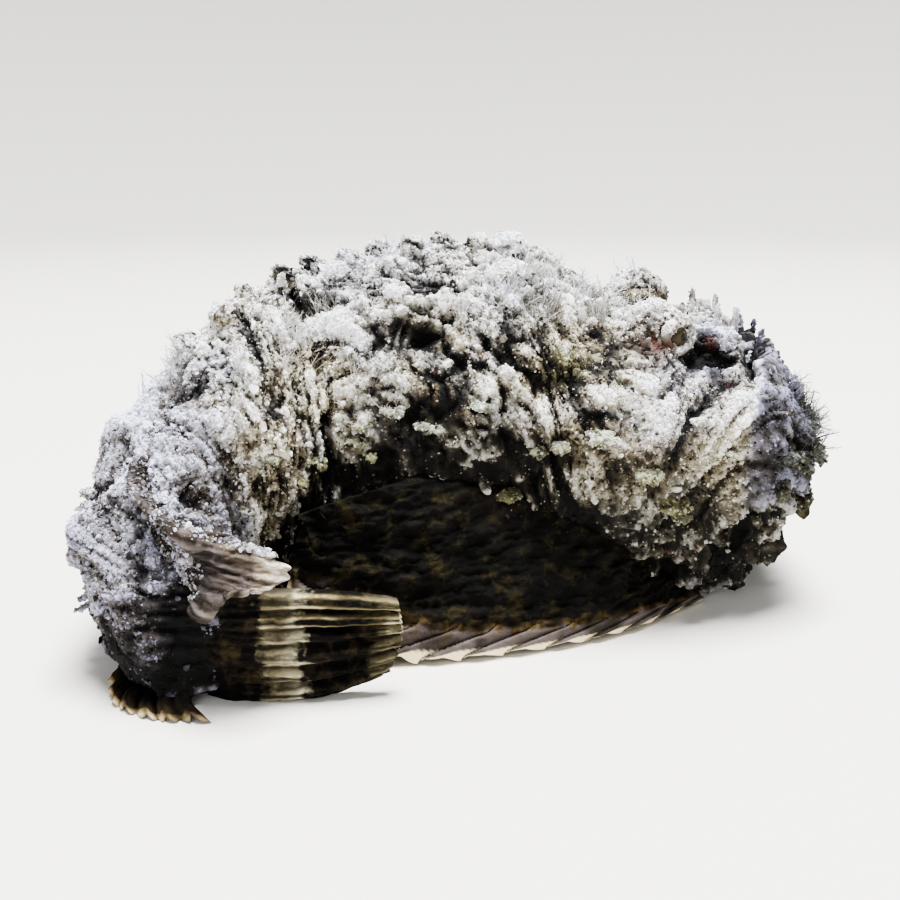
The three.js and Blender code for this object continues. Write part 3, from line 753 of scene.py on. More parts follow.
def fine_relief(s, q, z, strength):
    """(push along the normal in mm, crest from 0 to 1, darker in the creases as painted shade): lumps on
    lumps with creases between, on torn layers.

    Three sizes of lumps stand on a roughness drawn out along the body. Where the crust ends they give way to
    fine lengthwise wrinkles, and down the chin to upright folds.
    """
    cheek = 0.8 * bump(s, 66, 30) * smooth(np.abs(q), 8, 24)
    drawn = stacked(s * 0.55 + 0.12 * z, q, z - 0.08 * s)
    slanted = stacked(0.45 * (s - z), q, 0.8 * (s + z))
    tail = smooth(s, 168, 205)
    straight = mix(mix(drawn, slanted, cheek[..., None]), stacked(s, q, z), tail[..., None])
    warp = np.stack([noise(straight, 13, 60 + k) for k in range(3)], axis=-1) * 4.5
    torn = straight + warp
    cover = crust_cover(s, q, z)
    big, big_gap, big_number = lumps(torn, 11, 1)
    middle, middle_gap, _ = lumps(torn + warp, 5, 2)
    small, _, _ = lumps(torn, 2.4, 3)
    ragged = rough(torn, 9, 4, 4)
    pits = smooth(noise(torn, 15, 5), 0.35, 0.75)
    crust = 2.4 * (big - 0.62) * mix(0.4, 1.4, big_number) * (1 - 0.5 * tail) + 1.9 * (middle - 0.6)
    crust += 1.1 * (small - 0.6) + 2.2 * ragged - 2.2 * pits * (1 - tail)
    crust -= 1.4 * smooth(0.22 - big_gap, 0, 0.2) * (1 - 0.7 * tail) + 0.9 * smooth(0.2 - middle_gap, 0, 0.2)
    crust = crust * (1 - 0.4 * cheek) * (1 - 0.25 * tail)
    arch, notch = hollows(s, q, z)
    crust = crust - 1.5 * arch - 1.5 * notch - 2.0 * pit_of_face(s, q, z)
    wrinkles = 0.4 * np.sin(z * 2.1 + 2.5 * noise(straight, 9, 6) + 1.5 * noise(straight, 3.5, 7))
    wrinkles = wrinkles + 1.6 * rough(straight * np.array([0.5, 1, 1]), 7, 4, 8) + 0.9 * (small - 0.6) - 0.7
    knob, _, knob_number = lumps(straight, 6.5, 11)
    wrinkles = wrinkles + 2.6 * smooth(knob, 0.45, 0.9) * (knob_number > 0.6)
    folds = 1.5 * np.abs(np.cos((s + 0.25 * z) * 0.5 + 1.5 * noise(straight, 12, 9))) - 0.8
    chin = bump(s, 36, 30) * smooth(z, 52, 20)
    stump = smooth(s, 238, 256)
    lengthwise = 1.1 * np.abs(np.cos(z * 0.62 + 1.2 * noise(straight, 14, 10))) - 0.7
    push = strength * mix(wrinkles, crust, cover * (1 - 0.8 * stump))
    push = push + chin * folds + stump * lengthwise - 0.6
    # The crest is lighter on raised crust and darker in its creases, partly painted crevice shade, and
    # darker on the tail's root.
    level = 0.48 + 0.19 * (push + 0.8) + 0.18 * (middle - 0.6) + 0.2 * (small - 0.6) - 0.25 * stump
    smoothness = 0.4 * jaw_cover(s, z)  # the jaw's dome is smoother than the rest
    return push * (1 - smoothness), mix(0.3 + 0.8 * (level - 0.3), level, 0.35 + 0.65 * cover)


def make_skin(sizes, material):
    """The whole skin as one closed grid from chin to tail root.

    Each grid point is the plain skin's, set in by the coat, lifted over the eye mounds, pushed along its
    normal by the relief, rolled out at the lips, and pressed back in the mouth's line and round the eyes.
    """
    s, angle = body_grid()
    points, q, z = plain_skin(s, angle, -sizes.coat / MM)
    closing = 1 - 0.8 * smooth(s, 250, 268)  # the tail's root narrows on to the fin
    points = points + place(s, q * closing, z) - place(s, q, z)
    for side in (-1, 1):
        mound = eye_places(side)[0]
        points = sphere_over(points, mound - 14 * UP, mound, EYE["mound"] - 1)
    mouth = mouth_distance(points) + 1.1 * noise(points, 8, 62)
    normals = grid_normals(points, wrap=True)
    outside = np.sign(np.sum(normals * (points - points.mean(axis=1, keepdims=True)), axis=-1))[..., None]
    normals = normals * outside
    push, crest = fine_relief(s, q, z, sizes.crust)
    face = smooth(s, 36, 30) * smooth(z, 56, 62)
    lips = bump(np.abs(mouth), 2.6, 1.7) * face
    slit = bump(mouth, 0, 1.0) * face
    push = mix(push, 0.7 * push, np.clip(lips + slit, 0, 1)) + 1.8 * lips - 4.5 * slit
    crest = crest - 0.5 * slit + 0.08 * lips
    ends = smooth(s, 0, 3) * (1 - 0.5 * smooth(s, 255, 268)) * smooth(points[..., 2], 0.5, 6)
    points = points + normals * (push * ends)[..., None]
    ledge = crust_cover(s, q, z) * np.clip(push, 0, 3) * smooth(-normals[..., 2], -0.5, 0.3)
    points = points - UP * (0.45 * ledge)[..., None]
    for side in (-1, 1):
        _, eye, gaze = eye_places(side)
        points = sphere_over(points, eye - 12 * gaze, eye, EYE["radius"] + 0.2, inwards=True)
    points[..., 2] = np.maximum(points[..., 2], CLEAR)
    fields = skin_fields(s, q, points[..., 2], normals, crest)
    fields["along"] = s / BODY_LENGTH
    fields["around"] = np.arange(ROUND_BODY) / ROUND_BODY
    fields["bare"] = slit + 0.2 * lips + 0.3 * jaw_cover(s, z)
    kept = {
        key: np.concatenate([np.broadcast_to(value, q.shape).ravel(), [0.5, 0.5]])
        for key, value in fields.items()
    }
    points, faces = closed_tube(points)
    corners = unwrap(faces, kept)
    return add_mesh("stonefish_skin", points, faces, material, FLESH, kept, corners)


def on_map(share):
    """A share of the OFBake map's side, kept a hundredth clear of its edges."""
    return 0.01 + 0.98 * share


def unwrap(faces, kept):
    """The skin's own unwrap: round the body across the map, along it up the map, opened along the belly."""
    corners = []
    for f in faces:
        across, up = kept["around"][f], kept["along"][f]
        seam = across.max(axis=1, keepdims=True) - across.min(axis=1, keepdims=True) > 0.5
        across = np.where(seam & (across < 0.5), across + 1, across)
        corners.append(on_map(np.stack([across, up], axis=-1)))
    return corners


# The coat.

def read(items, key, kind, width=1):
    """One property of all of a mesh's parts as an array."""
    values = np.empty(len(items) * width, kind)
    items.foreach_get(key, values)
    return values


def coated_faces():
    """Every four-cornered face of the crusted pieces: (corner places in mm, attributes at the corners)."""
    places, values = [], {key: [] for key in (*FIELDS, "along", "around", "bare")}
    for piece in bpy.data.objects:
        mesh = piece.data
        if piece.type != "MESH" or "bare" not in mesh.attributes:
            continue
        start = read(mesh.polygons, "loop_start", np.int32)
        four_cornered = read(mesh.polygons, "loop_total", np.int32) == 4
        loops = read(mesh.loops, "vertex_index", np.int32)
        quads = loops[start[four_cornered][:, None] + np.arange(4)]
        places.append(read(mesh.vertices, "co", np.float32, 3).reshape(-1, 3)[quads] / MM)
        for key in values:
            values[key].append(read(mesh.attributes[key].data, "value", np.float32)[quads])
    return np.concatenate(places), {key: np.concatenate(value) for key, value in values.items()}


def scatter(count, weigh, seed):
    """Seeded roots on the crusted pieces, drawn by area times weight: (place, normal, markings, random)."""
    random = np.random.default_rng(seed)
    corners, values = coated_faces()
    normal = np.cross(corners[:, 2] - corners[:, 0], corners[:, 3] - corners[:, 1])
    area = np.linalg.norm(normal, axis=1) / 2
    normal = unit(normal)
    weight = area * weigh(corners.mean(axis=1), normal, {k: v.mean(axis=1) for k, v in values.items()})
    picked = random.choice(len(corners), count, p=weight / weight.sum())
    u, v = random.random((2, count))[..., None]
    share = np.concatenate([(1 - u) * (1 - v), u * (1 - v), u * v, (1 - u) * v], axis=1)
    root = np.einsum("ij,ijk->ik", share, corners[picked])
    values = {key: value[picked] for key, value in values.items()}
    around = values["around"]
    seam = np.ptp(around, axis=1, keepdims=True) > 0.5
    values["around"] = np.where(seam & (around < 0.5), around + 1, around)
    drawn = {key: np.sum(share * value, axis=1) for key, value in values.items()}
    return root, normal[picked], drawn, random


def frames(normal, random):
    """Two directions across each normal, turned at random about it."""
    any_way = unit(random.normal(size=normal.shape))
    one = unit(np.cross(normal, any_way))
    return one, np.cross(normal, one)


def icosahedron():
    """Twelve corners and twenty faces: three golden rectangles, and every corner triple an edge apart."""
    gold = (1 + 5**0.5) / 2
    corners = np.array([np.roll([0, a, b * gold], k) for k in range(3) for a in (-1, 1) for b in (-1, 1)])
    near = np.isclose(np.linalg.norm(corners[:, None] - corners[None], axis=-1), 2)
    corners = unit(corners)
    faces = [
        (i, j, k) if np.linalg.det(corners[[i, j, k]]) > 0 else (k, j, i)
        for i, j, k in np.ndindex(12, 12, 12) if i < j < k and near[i, j] and near[j, k] and near[i, k]
    ]
    return corners, np.array(faces)


def octahedron():
    """Six corners and eight faces."""
    corners = np.array([[1, 0, 0], [0, 1, 0], [-1, 0, 0], [0, -1, 0], [0, 0, 1], [0, 0, -1]], float)
    faces = [(k, (k + 1) % 4, 4) for k in range(4)] + [((k + 1) % 4, k, 5) for k in range(4)]
    return corners, np.array(faces)


HALF_PATCH = 0.0015  # half the width of a copy's patch on the OFBake map


def add_coat(name, points, plan, drawn, lift, offsets, material, rounded=True):
    """A coat piece of many copies of one plan's faces, each with the markings of its root.

    The points are listed copy by copy, and lift raises the crest. On the OFBake map each copy is a small
    patch at its root's place on the skin's unwrap, its corners set off from there by the offsets.
    """
    count, size = points.shape[:2]
    points[..., 2] = np.maximum(points[..., 2], CLEAR)
    first = np.arange(count)[:, None, None] * size
    faces = [(first + np.array(f)[None]).reshape(-1, len(f[0])) for f in plan]
    fields = {key: np.repeat(drawn[key] + (lift if key == "crest" else 0), size) for key in FIELDS}
    root = on_map(np.stack([drawn["around"], drawn["along"]], axis=1))
    on_patch = np.clip(root[:, None] + HALF_PATCH * offsets, 0.0005, 0.9995).reshape(-1, 2)
    corners = [on_patch[f] for f in faces]
    return add_mesh(name, points, faces, material, (), fields, corners, rounded)


def make_crumbs(name, sizes, material, seed, count, shape, large):
    """One coat piece of crumbs: squashed, jittered lumps half sunk in the skin, larger on its crests.

    Large ones are flatter, and tilted so that they stand off the skin.
    """
    root, normal, drawn, random = scatter(count, crumb_weight, seed)
    corners, faces = shape
    normal = unit(normal + 0.25 * large * random.normal(size=normal.shape))
    one, two = frames(normal, random)
    width = large * sizes.crumb / MM * random.lognormal(-0.1, 0.36, count) * mix(0.7, 1.1, drawn["crest"])
    width = np.clip(width, 0.3, 2.3 * large)
    flat = random.uniform(0.5, 0.95, count) / max(large, 1)
    stretch = np.stack([random.uniform(0.7, 1.3, count), random.uniform(0.6, 1, count), flat], axis=1)
    jitter = random.uniform(0.65, 1.25, (count, len(corners), 1))
    lump = corners[None] * jitter * (stretch * width[:, None] / 2)[:, None]
    basis = np.stack([one, two, normal], axis=1)
    points = (root + normal * width[:, None] * 0.12)[:, None] + np.einsum("nci,nij->ncj", lump, basis)
    lift = random.normal(0, 0.22, count) + 0.05
    return add_coat(name, points, [faces], drawn, lift, corners[:, :2], material, rounded=False)


def crumb_weight(at, normal, fields):
    """Crumbs are thick on lumps, thin in pits and on the smooth lower flank, and none in the mouth."""
    spread = (0.25 + (1 - fields["shade"])) * (0.2 + fields["crest"])
    return spread * smooth(at[:, 2], 1, 6) * np.clip(1 - 1.6 * fields["bare"], 0, 1)


THREE = circle(SIDEWAYS, ONWARDS, turns(3)[:, None])
STEM_SIDES = grid_quads(3, 3, wrap=True)
STEM_ENDS = [[6, 7, 9], [7, 8, 9], [8, 6, 9], [2, 1, 0]]  # the tip over the third ring, and the foot


def make_turf(name, sizes, material, seed, length):
    """One coat piece of algae threads: three-sided, tapering, bent tubes with a closed tip."""
    root, normal, drawn, random = scatter(sizes.threads, turf_weight, seed)
    count = len(root)
    one, two = frames(normal, random)
    tall = np.clip(random.lognormal(math.log(length), 0.4, count), 0.4, 3.6)
    lean = unit(normal + 0.75 * one + 0.35 * UP)
    bend = two * random.uniform(-0.8, 0.8, (count, 1))
    steps = np.array([0, 0.35, 0.7])
    path = root[:, None] + lean[:, None] * (tall[:, None] * steps)[..., None]
    path = path + bend[:, None] * (tall[:, None] * steps**2)[..., None]
    radius = random.uniform(0.09, 0.17, count)[:, None] * (1 - 0.45 * steps)
    side = circle(one[:, None], two[:, None], turns(3)[:, None])
    rings = path[:, :, None] + side[:, None] * radius[..., None, None]
    tips = root + lean * tall[:, None] + bend * tall[:, None]
    points = np.concatenate([rings.reshape(count, 9, 3), tips[:, None]], axis=1)
    lift = random.normal(0.05, 0.2, count)
    offsets = np.concatenate([np.tile(THREE[:, :2], (3, 1)), [[0, 0]]])
    return add_coat(name, points, [STEM_SIDES, STEM_ENDS], drawn, lift, offsets, material)


def turf_weight(at, normal, fields):
    """Threads stand on the upper crust, thick in a few patches along the back and thin on the head."""
    patches = 0.25 + 2 * smooth(noise(at, 22, 90), 0.0, 0.5)
    upper = smooth(at[:, 2], 25, 80) * patches * smooth(at[:, 0], 46, 26)
    return (1 - fields["shade"]) * (0.15 + fields["crest"]) * upper * np.clip(1 - 2 * fields["bare"], 0, 1)


def sprig_plan():
    """A stem one high of three rings and a point, with six side branches: (points, [quads, triangles])."""
    stem = [THREE * radius + UP * height for height, radius in ((0, 0.028), (0.45, 0.02), (0.8, 0.012))]
    points, triangles = [*stem, [UP]], list(STEM_ENDS)
    for k, height in enumerate((0.25, 0.38, 0.5, 0.62, 0.74, 0.85)):
        way = np.array([math.cos(2.4 * k), math.sin(2.4 * k), 0.75])
        points += [THREE * 0.012 + UP * height, [UP * height + way * (0.42 * (1 - 0.6 * height))]]
        first = 10 + 4 * k
        triangles += [[first + j for j in side] for side in ((0, 1, 3), (1, 2, 3), (2, 0, 3), (2, 1, 0))]
    return np.concatenate(points), [STEM_SIDES, triangles]


SPRIGS = 1500
SPRIG_TOP = 117.5  # the height in mm that sprigs on the top of the back reach


def make_sprigs(name, count, material, seed):
    """One coat piece of algae sprigs: the plan turned, scaled and bent for each root."""
    root, normal, drawn, random = scatter(count, sprig_weight, seed)
    plan, faces = sprig_plan()
    one, two = frames(normal, random)
    room = np.clip(SPRIG_TOP - root[:, 2], 2, 8.5)
    tall = np.clip(random.lognormal(math.log(4.2), 0.35, count), 1.8, room)[:, None, None]
    stand = unit(normal + 0.5 * one + 0.7 * UP)
    side = unit(np.cross(stand, one))
    basis = np.stack([np.cross(side, stand), side, stand], axis=1)
    thick = mix(1.0, 1.6, random.random((count, 1, 1)))
    shape = plan[None] * tall * np.concatenate([thick, thick, np.ones_like(thick)], axis=2)
    sway = two * random.uniform(-0.35, 0.35, (count, 1))
    bend = np.einsum("ni,nc->nci", sway, plan[:, 2] ** 2 * tall[..., 0])
    points = root[:, None] + np.einsum("nci,nij->ncj", shape, basis) + bend
    return add_coat(name, points, faces, drawn, 0.2, np.clip(plan[:, :2] * 3, -1, 1), material)


def sprig_weight(at, normal, fields):
    """Sprigs stand in a few patches along the top of the back, and on the right side of the jaw."""
    patches = smooth(noise(at, 22, 90), 0.0, 0.5) * smooth(noise(at, 6, 91), -0.2, 0.4)
    back = patches * smooth(at[:, 0], 52, 30) * smooth(at[:, 2], 62, 96) * smooth(normal[:, 2], -0.1, 0.6)
    jaw = 0.6 * bump(at[:, 0], 98, 8) * bump(at[:, 2], 62, 9) * bump(at[:, 1], -22, 12)
    return (back + jaw) * (1 - np.clip(fields["bare"], 0, 1))


# Spines and fins.

def crusted(ring, s, turn, strength, bare=0.0, loop=False):
    """A small form of the skin's own make, roughened by the skin's lumps: a part for joined().

    The ring is its rows of points in mm, s and turn its root's place on the body.
    """
    middle = ring.mean(axis=1, keepdims=True)
    out = unit(ring - middle)
    along = s - (ring[..., 0] - ring[..., 0].mean())
    push, crest = fine_relief(along, ring[..., 1], ring[..., 2], strength)
    girth = np.linalg.norm(ring - middle, axis=-1).mean(axis=1, keepdims=True)
    ring = ring + out * (push * smooth(girth, 0.3, 5))[..., None]
    ring[..., 2] = np.maximum(ring[..., 2], CLEAR)
    fields = skin_fields(along, ring[..., 1], ring[..., 2], unit(out + 0.9 * UP), crest + 0.04)
    fields.update(along=s / BODY_LENGTH, around=fraction(turn + 0.25), bare=bare)
    points, faces = closed_loop(ring) if loop else closed_tube(ring)
    kept = {}
    for key, value in fields.items():
        value = np.broadcast_to(value, ring.shape[:2])
        ends = [] if loop else [value[0].mean(), value[-1].mean()]
        kept[key] = np.concatenate([value.ravel(), ends])
    return points, faces, kept


def foot_and_away(s, angle, depth, reach):
    """A point this deep in the skin, and one that stands this far off it at the same place."""
    return (plain_skin(np.array([float(s)]), np.array([angle]), off)[0][0] for off in (-depth, reach))


def stalk(root, tip, bow, width, flat, rows, columns, fringe=0.0, phase=0.0):
    """Rows of points round a bowed stalk, its half width falling with the power 2.8 of the way to the tip.

    A fringe cuts its end into ragged strips by pulling back the points between them.
    """
    v = np.linspace(0, 1, rows)[:, None]
    turn = turns(columns)[None]
    along = tip - root
    across = unit(np.cross(along, bow))
    out = unit(np.cross(across, along))
    strips = np.abs(2 * fraction(1.6 * np.cos(turn) + phase) - 1)
    reach = v * (1 - fringe * strips * smooth(v, 0.4, 1))
    notches = 1 + 1.2 * fringe * np.sin(9 * v + 7 * phase) * smooth(v, 0.1, 0.4)
    half = np.maximum(width / 2 * (1 - v**2.8), 0.35) * notches
    centre = root + along * reach[..., None] + bow * (4 * reach * (1 - reach))[..., None]
    thick = np.maximum(half * flat, 0.3)
    return centre + across * (half * np.cos(turn))[..., None] + out * (thick * np.sin(turn))[..., None]


def make_sheaths(material):
    """The spiny dorsal fin: thick, warty sheaths that lean back and to alternate sides, on a low web."""
    parts = []
    for i in range(SPINES["count"]):
        s = mix(SPINES["from"], SPINES["to"], i / (SPINES["count"] - 1))
        size = 1 - 0.35 * (i / SPINES["count"]) - (0.2 if i == 0 else 0)
        back = s + 7 * size
        root = place(s, 0, top_of_back(s)[0] - 5)
        tip = place(back, -3.5 if i % 2 else 3.5, top_of_back(back)[0] + SPINES["height"] * size)
        ring = stalk(root, tip, 1.6 * UP, SPINES["width"] * size, 0.8, 26, 30)
        parts.append(crusted(ring, s, 0.25, 0.75))
    rows, columns = 150, 18
    s = np.linspace(SPINES["from"] - 5, SPINES["to"] + 4, rows)
    centre = place(s, 0, top_of_back(s) - 1.5)
    side = place(s, 1, top_of_back(s) - 1.5) - centre
    swell = np.sqrt(np.sin(np.linspace(0.02, math.pi - 0.02, rows)))[:, None, None]
    ring = centre[:, None] + swell * circle(side[:, None] * 4.2, 3.4 * UP, turns(columns)[:, None])
    points, faces, kept = crusted(ring, 140, 0.25, 0.5)
    kept["along"] = np.append(np.repeat(s / BODY_LENGTH, columns), s[[0, -1]] / BODY_LENGTH)
    parts.append((points, faces, kept))
    return add_joined("dorsal_sheaths", parts, material, ("dorsal_fin_spiny",))


def lid(side):
    """The lids round one eye as a thick roll round a lens-shaped opening, heavier above."""
    _, eye, gaze = eye_places(side)
    across = unit(np.cross(UP, gaze))
    up = np.cross(gaze, across)
    turn = turns(90)[:, None, None]
    lens = np.sign(np.sin(turn)) * np.abs(np.sin(turn)) ** 1.3
    middle = across * LIDS["long"] * np.cos(turn) + up * LIDS["tall"] * lens
    centre = eye + gaze * LIDS["ahead"] + LIDS["ring"] * middle
    roll = LIDS["roll"] + 0.45 * np.maximum(np.sin(turn), 0) - 0.3 * np.abs(np.cos(turn)) ** 3
    ring = centre + roll * circle(unit(middle), gaze, turns(26)[None, :, None])
    return crusted(ring, EYE["s"], 0.25 - side * 0.1, 0.28, 0.3, loop=True)


def nostril(side, s, q):
    """A nostril's rim: a short tube, flared at its foot, whose wall turns in over its top and down again."""
    turn = math.pi / 2 - side * math.asin(q / HALF_WIDTH[0][1])
    foot, away = foot_and_away(s, turn, 1, 3)
    out = unit(away - foot)
    one = unit(np.cross(out, [0.3, 1, 0]))
    radius = np.array([3.4, 3.1, 2.8, 2.6, 2.3, 1.9, 1.5, 1.3, 1.2, 1.1])[:, None, None]
    height = np.array([-2, 0, 1.2, 2.2, 2.7, 2.8, 2.4, 1.4, 0, -1.2])[:, None, None]
    ring = foot + out * height + radius * circle(one, np.cross(out, one), turns(24)[:, None])
    return crusted(ring, s, turn / (2 * math.pi), 0.12, 0.6)


def make_face(material):
    """Lids round both eyes, and the rims of the nostrils."""
    parts = []
    for side in (-1, 1):
        parts.append(lid(side))
        parts.extend(nostril(side, s, q) for s, q in NOSTRILS)
    return add_joined("lids_and_nostrils", parts, material)


# Where small flaps grow: (count, from s, to s, from turn, to turn, length, width, drop) of each row.
FLAP_ROWS = [
    (44, 3, 34, 0.82, 1.1, 4.5, 4.0, -0.7),
    (34, 34, 96, 0.9, 1.04, 4.0, 5.0, -0.6),
    (26, 14, 50, 0.14, 0.24, 1.8, 1.2, 0.6),
    (36, 96, 214, 0.96, 1.06, 4.2, 5.5, -0.7),
    (40, 60, 200, 0.12, 0.25, 2.6, 3.0, 0.3),
    (18, 200, 250, 0.9, 1.1, 3.0, 3.0, -0.4),
]


def all_flaps(random):
    """The solids' flaps and the many small ones between: on chin, cheek, brow and the crust's lower edge."""
    flaps = [flap + (side,) for flap in FLAPS for side in (-1, 1)]
    for count, s_from, s_to, turn_from, turn_to, long, wide, drop in FLAP_ROWS:
        for _ in range(count):
            size = random.uniform(0.6, 1.4)
            flaps.append((
                random.uniform(s_from, s_to), random.uniform(turn_from, turn_to),
                long * size, wide * size * random.uniform(0.7, 1.3),
                drop * random.uniform(0.7, 1.2), random.choice([-1, 1]),
            ))
    return flaps


def make_flaps(material):
    """Skin flaps: flat, ragged tongues of skin that hang from the chin and cheek or stand on the brow."""
    random = np.random.default_rng(31)
    parts = []
    for s, turn, length, width, drop, side in all_flaps(random):
        angle = 2 * math.pi * turn if side > 0 else math.pi - 2 * math.pi * turn
        foot, away = foot_and_away(s, angle, 2, 6)
        out = unit(away - foot)
        tip = foot + out * (length * 0.55 + 2) + drop * length * UP
        grid = (22, 28) if length > 6 else (10, 12)
        fringe = random.uniform(0.1, 0.28) * (drop < 0.5)
        ring = stalk(foot, tip, out * 1.2, width, 0.24, *grid, fringe, random.uniform())
        points, faces, kept = crusted(ring, s, fraction(angle / (2 * math.pi)), 0.16, 0.12)
        # Hanging flaps get less silt and top light, as painted shade; upright ones have higher crests; olive
        # ones on the chin get half the painted shade.
        kept["silt"] = (1.0 if drop > 0 else 0.6) * kept["silt"]
        kept["crest"] = kept["crest"] + (0.2 if drop > 0 else 0.03)
        olive = smooth(foot[2], 25, 45) * (drop < 0)
        kept["moss"] = np.maximum(kept["moss"], olive)
        kept["shade"] = kept["shade"] * (1 - 0.5 * olive)
        parts.append((points, faces, kept))
    return add_joined("skin_flaps", parts, material)


def loft(lines, u, v):
    """A fin's middle surface: each ray is a parabola through the base line, middle line and margin."""
    base, middle, margin = (curve(points, u) for points in lines)
    v = v[..., None]
    return base * (1 - v) * (1 - 2 * v) + middle * 4 * v * (1 - v) + margin * v * (2 * v - 1)


def placed(lines):
    """Lines given as s, q and z, in plan."""
    return [[tuple(place(*map(float, p))) for p in points] for points in lines]


SOFT_DORSAL = placed([
    [(224, 0, 62), (238, 0, 50), (250, 0, 39), (264, 0, 30)],
    [(239, 4.5, 56), (258, 4, 48), (269, 5, 40), (268, 8, 35), (263, 9, 29)],
    [(256, 6, 50.5), (281, 3, 43), (285.5, 4.5, 38), (279, 8, 35.5), (272, 10, 36), (267, 10, 27)],
])
CAUDAL = placed([
    [(261, 0, 29), (261, 0, 16), (261, 0, 1.5)],
    [(286, 0, 31), (286, 1, 16), (286, 0, -0.6)],
    [(312, 0, 27), (313, 0, 17), (309, 0, 6)],
])
ANAL = placed([
    [(236, 4, 3), (243, 5, 2), (251, 5, 2), (258, 3, 3)],
    [(239, 10, 3), (245, 12, 2), (252, 11, 2), (261, 8, 2.5)],
    [(240, 14, 0.5), (247, 17, 0.5), (256, 16, 0.5), (267, 12, 0.5)],
])
PELVIC = [
    [(24, 20, 3), (30, 19, 3), (40, 18, 3), (50, 16, 3)],
    [(18, 29, 2), (28, 30, 2), (40, 29, 2), (50, 25, 2)],
    [(10, 34, 0.5), (24, 38, 0.5), (40, 36, 0.5), (52, 30, 0.5)],
]
PECTORAL = {
    "right": [
        [(-16, -39, 49), (2, -41, 43), (22, -39, 33), (40, -33, 21), (56, -19, 10)],
        [(-38, -51, 47), (-30, -56, 29), (0, -54, 18), (34, -44, 12), (62, -24, 6)],
        [(-58, -54, 41), (-62, -60, 4), (-30, -66, 0.7), (4, -60, 0.7), (38, -46, 0.7), (66, -24, 0.7)],
    ],
    "left": [
        [(-16, 40, 56), (2, 44, 48), (22, 44, 36), (40, 40, 22), (56, 30, 10)],
        [(-38, 46, 53), (-30, 56, 31), (0, 60, 18), (34, 52, 12), (62, 38, 6)],
        [(-62, 44, 46), (-62, 58, 4), (-30, 70, 0.7), (4, 68, 0.7), (38, 58, 0.7), (68, 40, 0.7)],
    ],
}


# Shares of each ray of a roped fin: where it slants, and where it turns to a strand. The rope runs where the
# margin is low.
SLANTED = (0.76, 1.04)
ROPED = (0.79, 0.85)


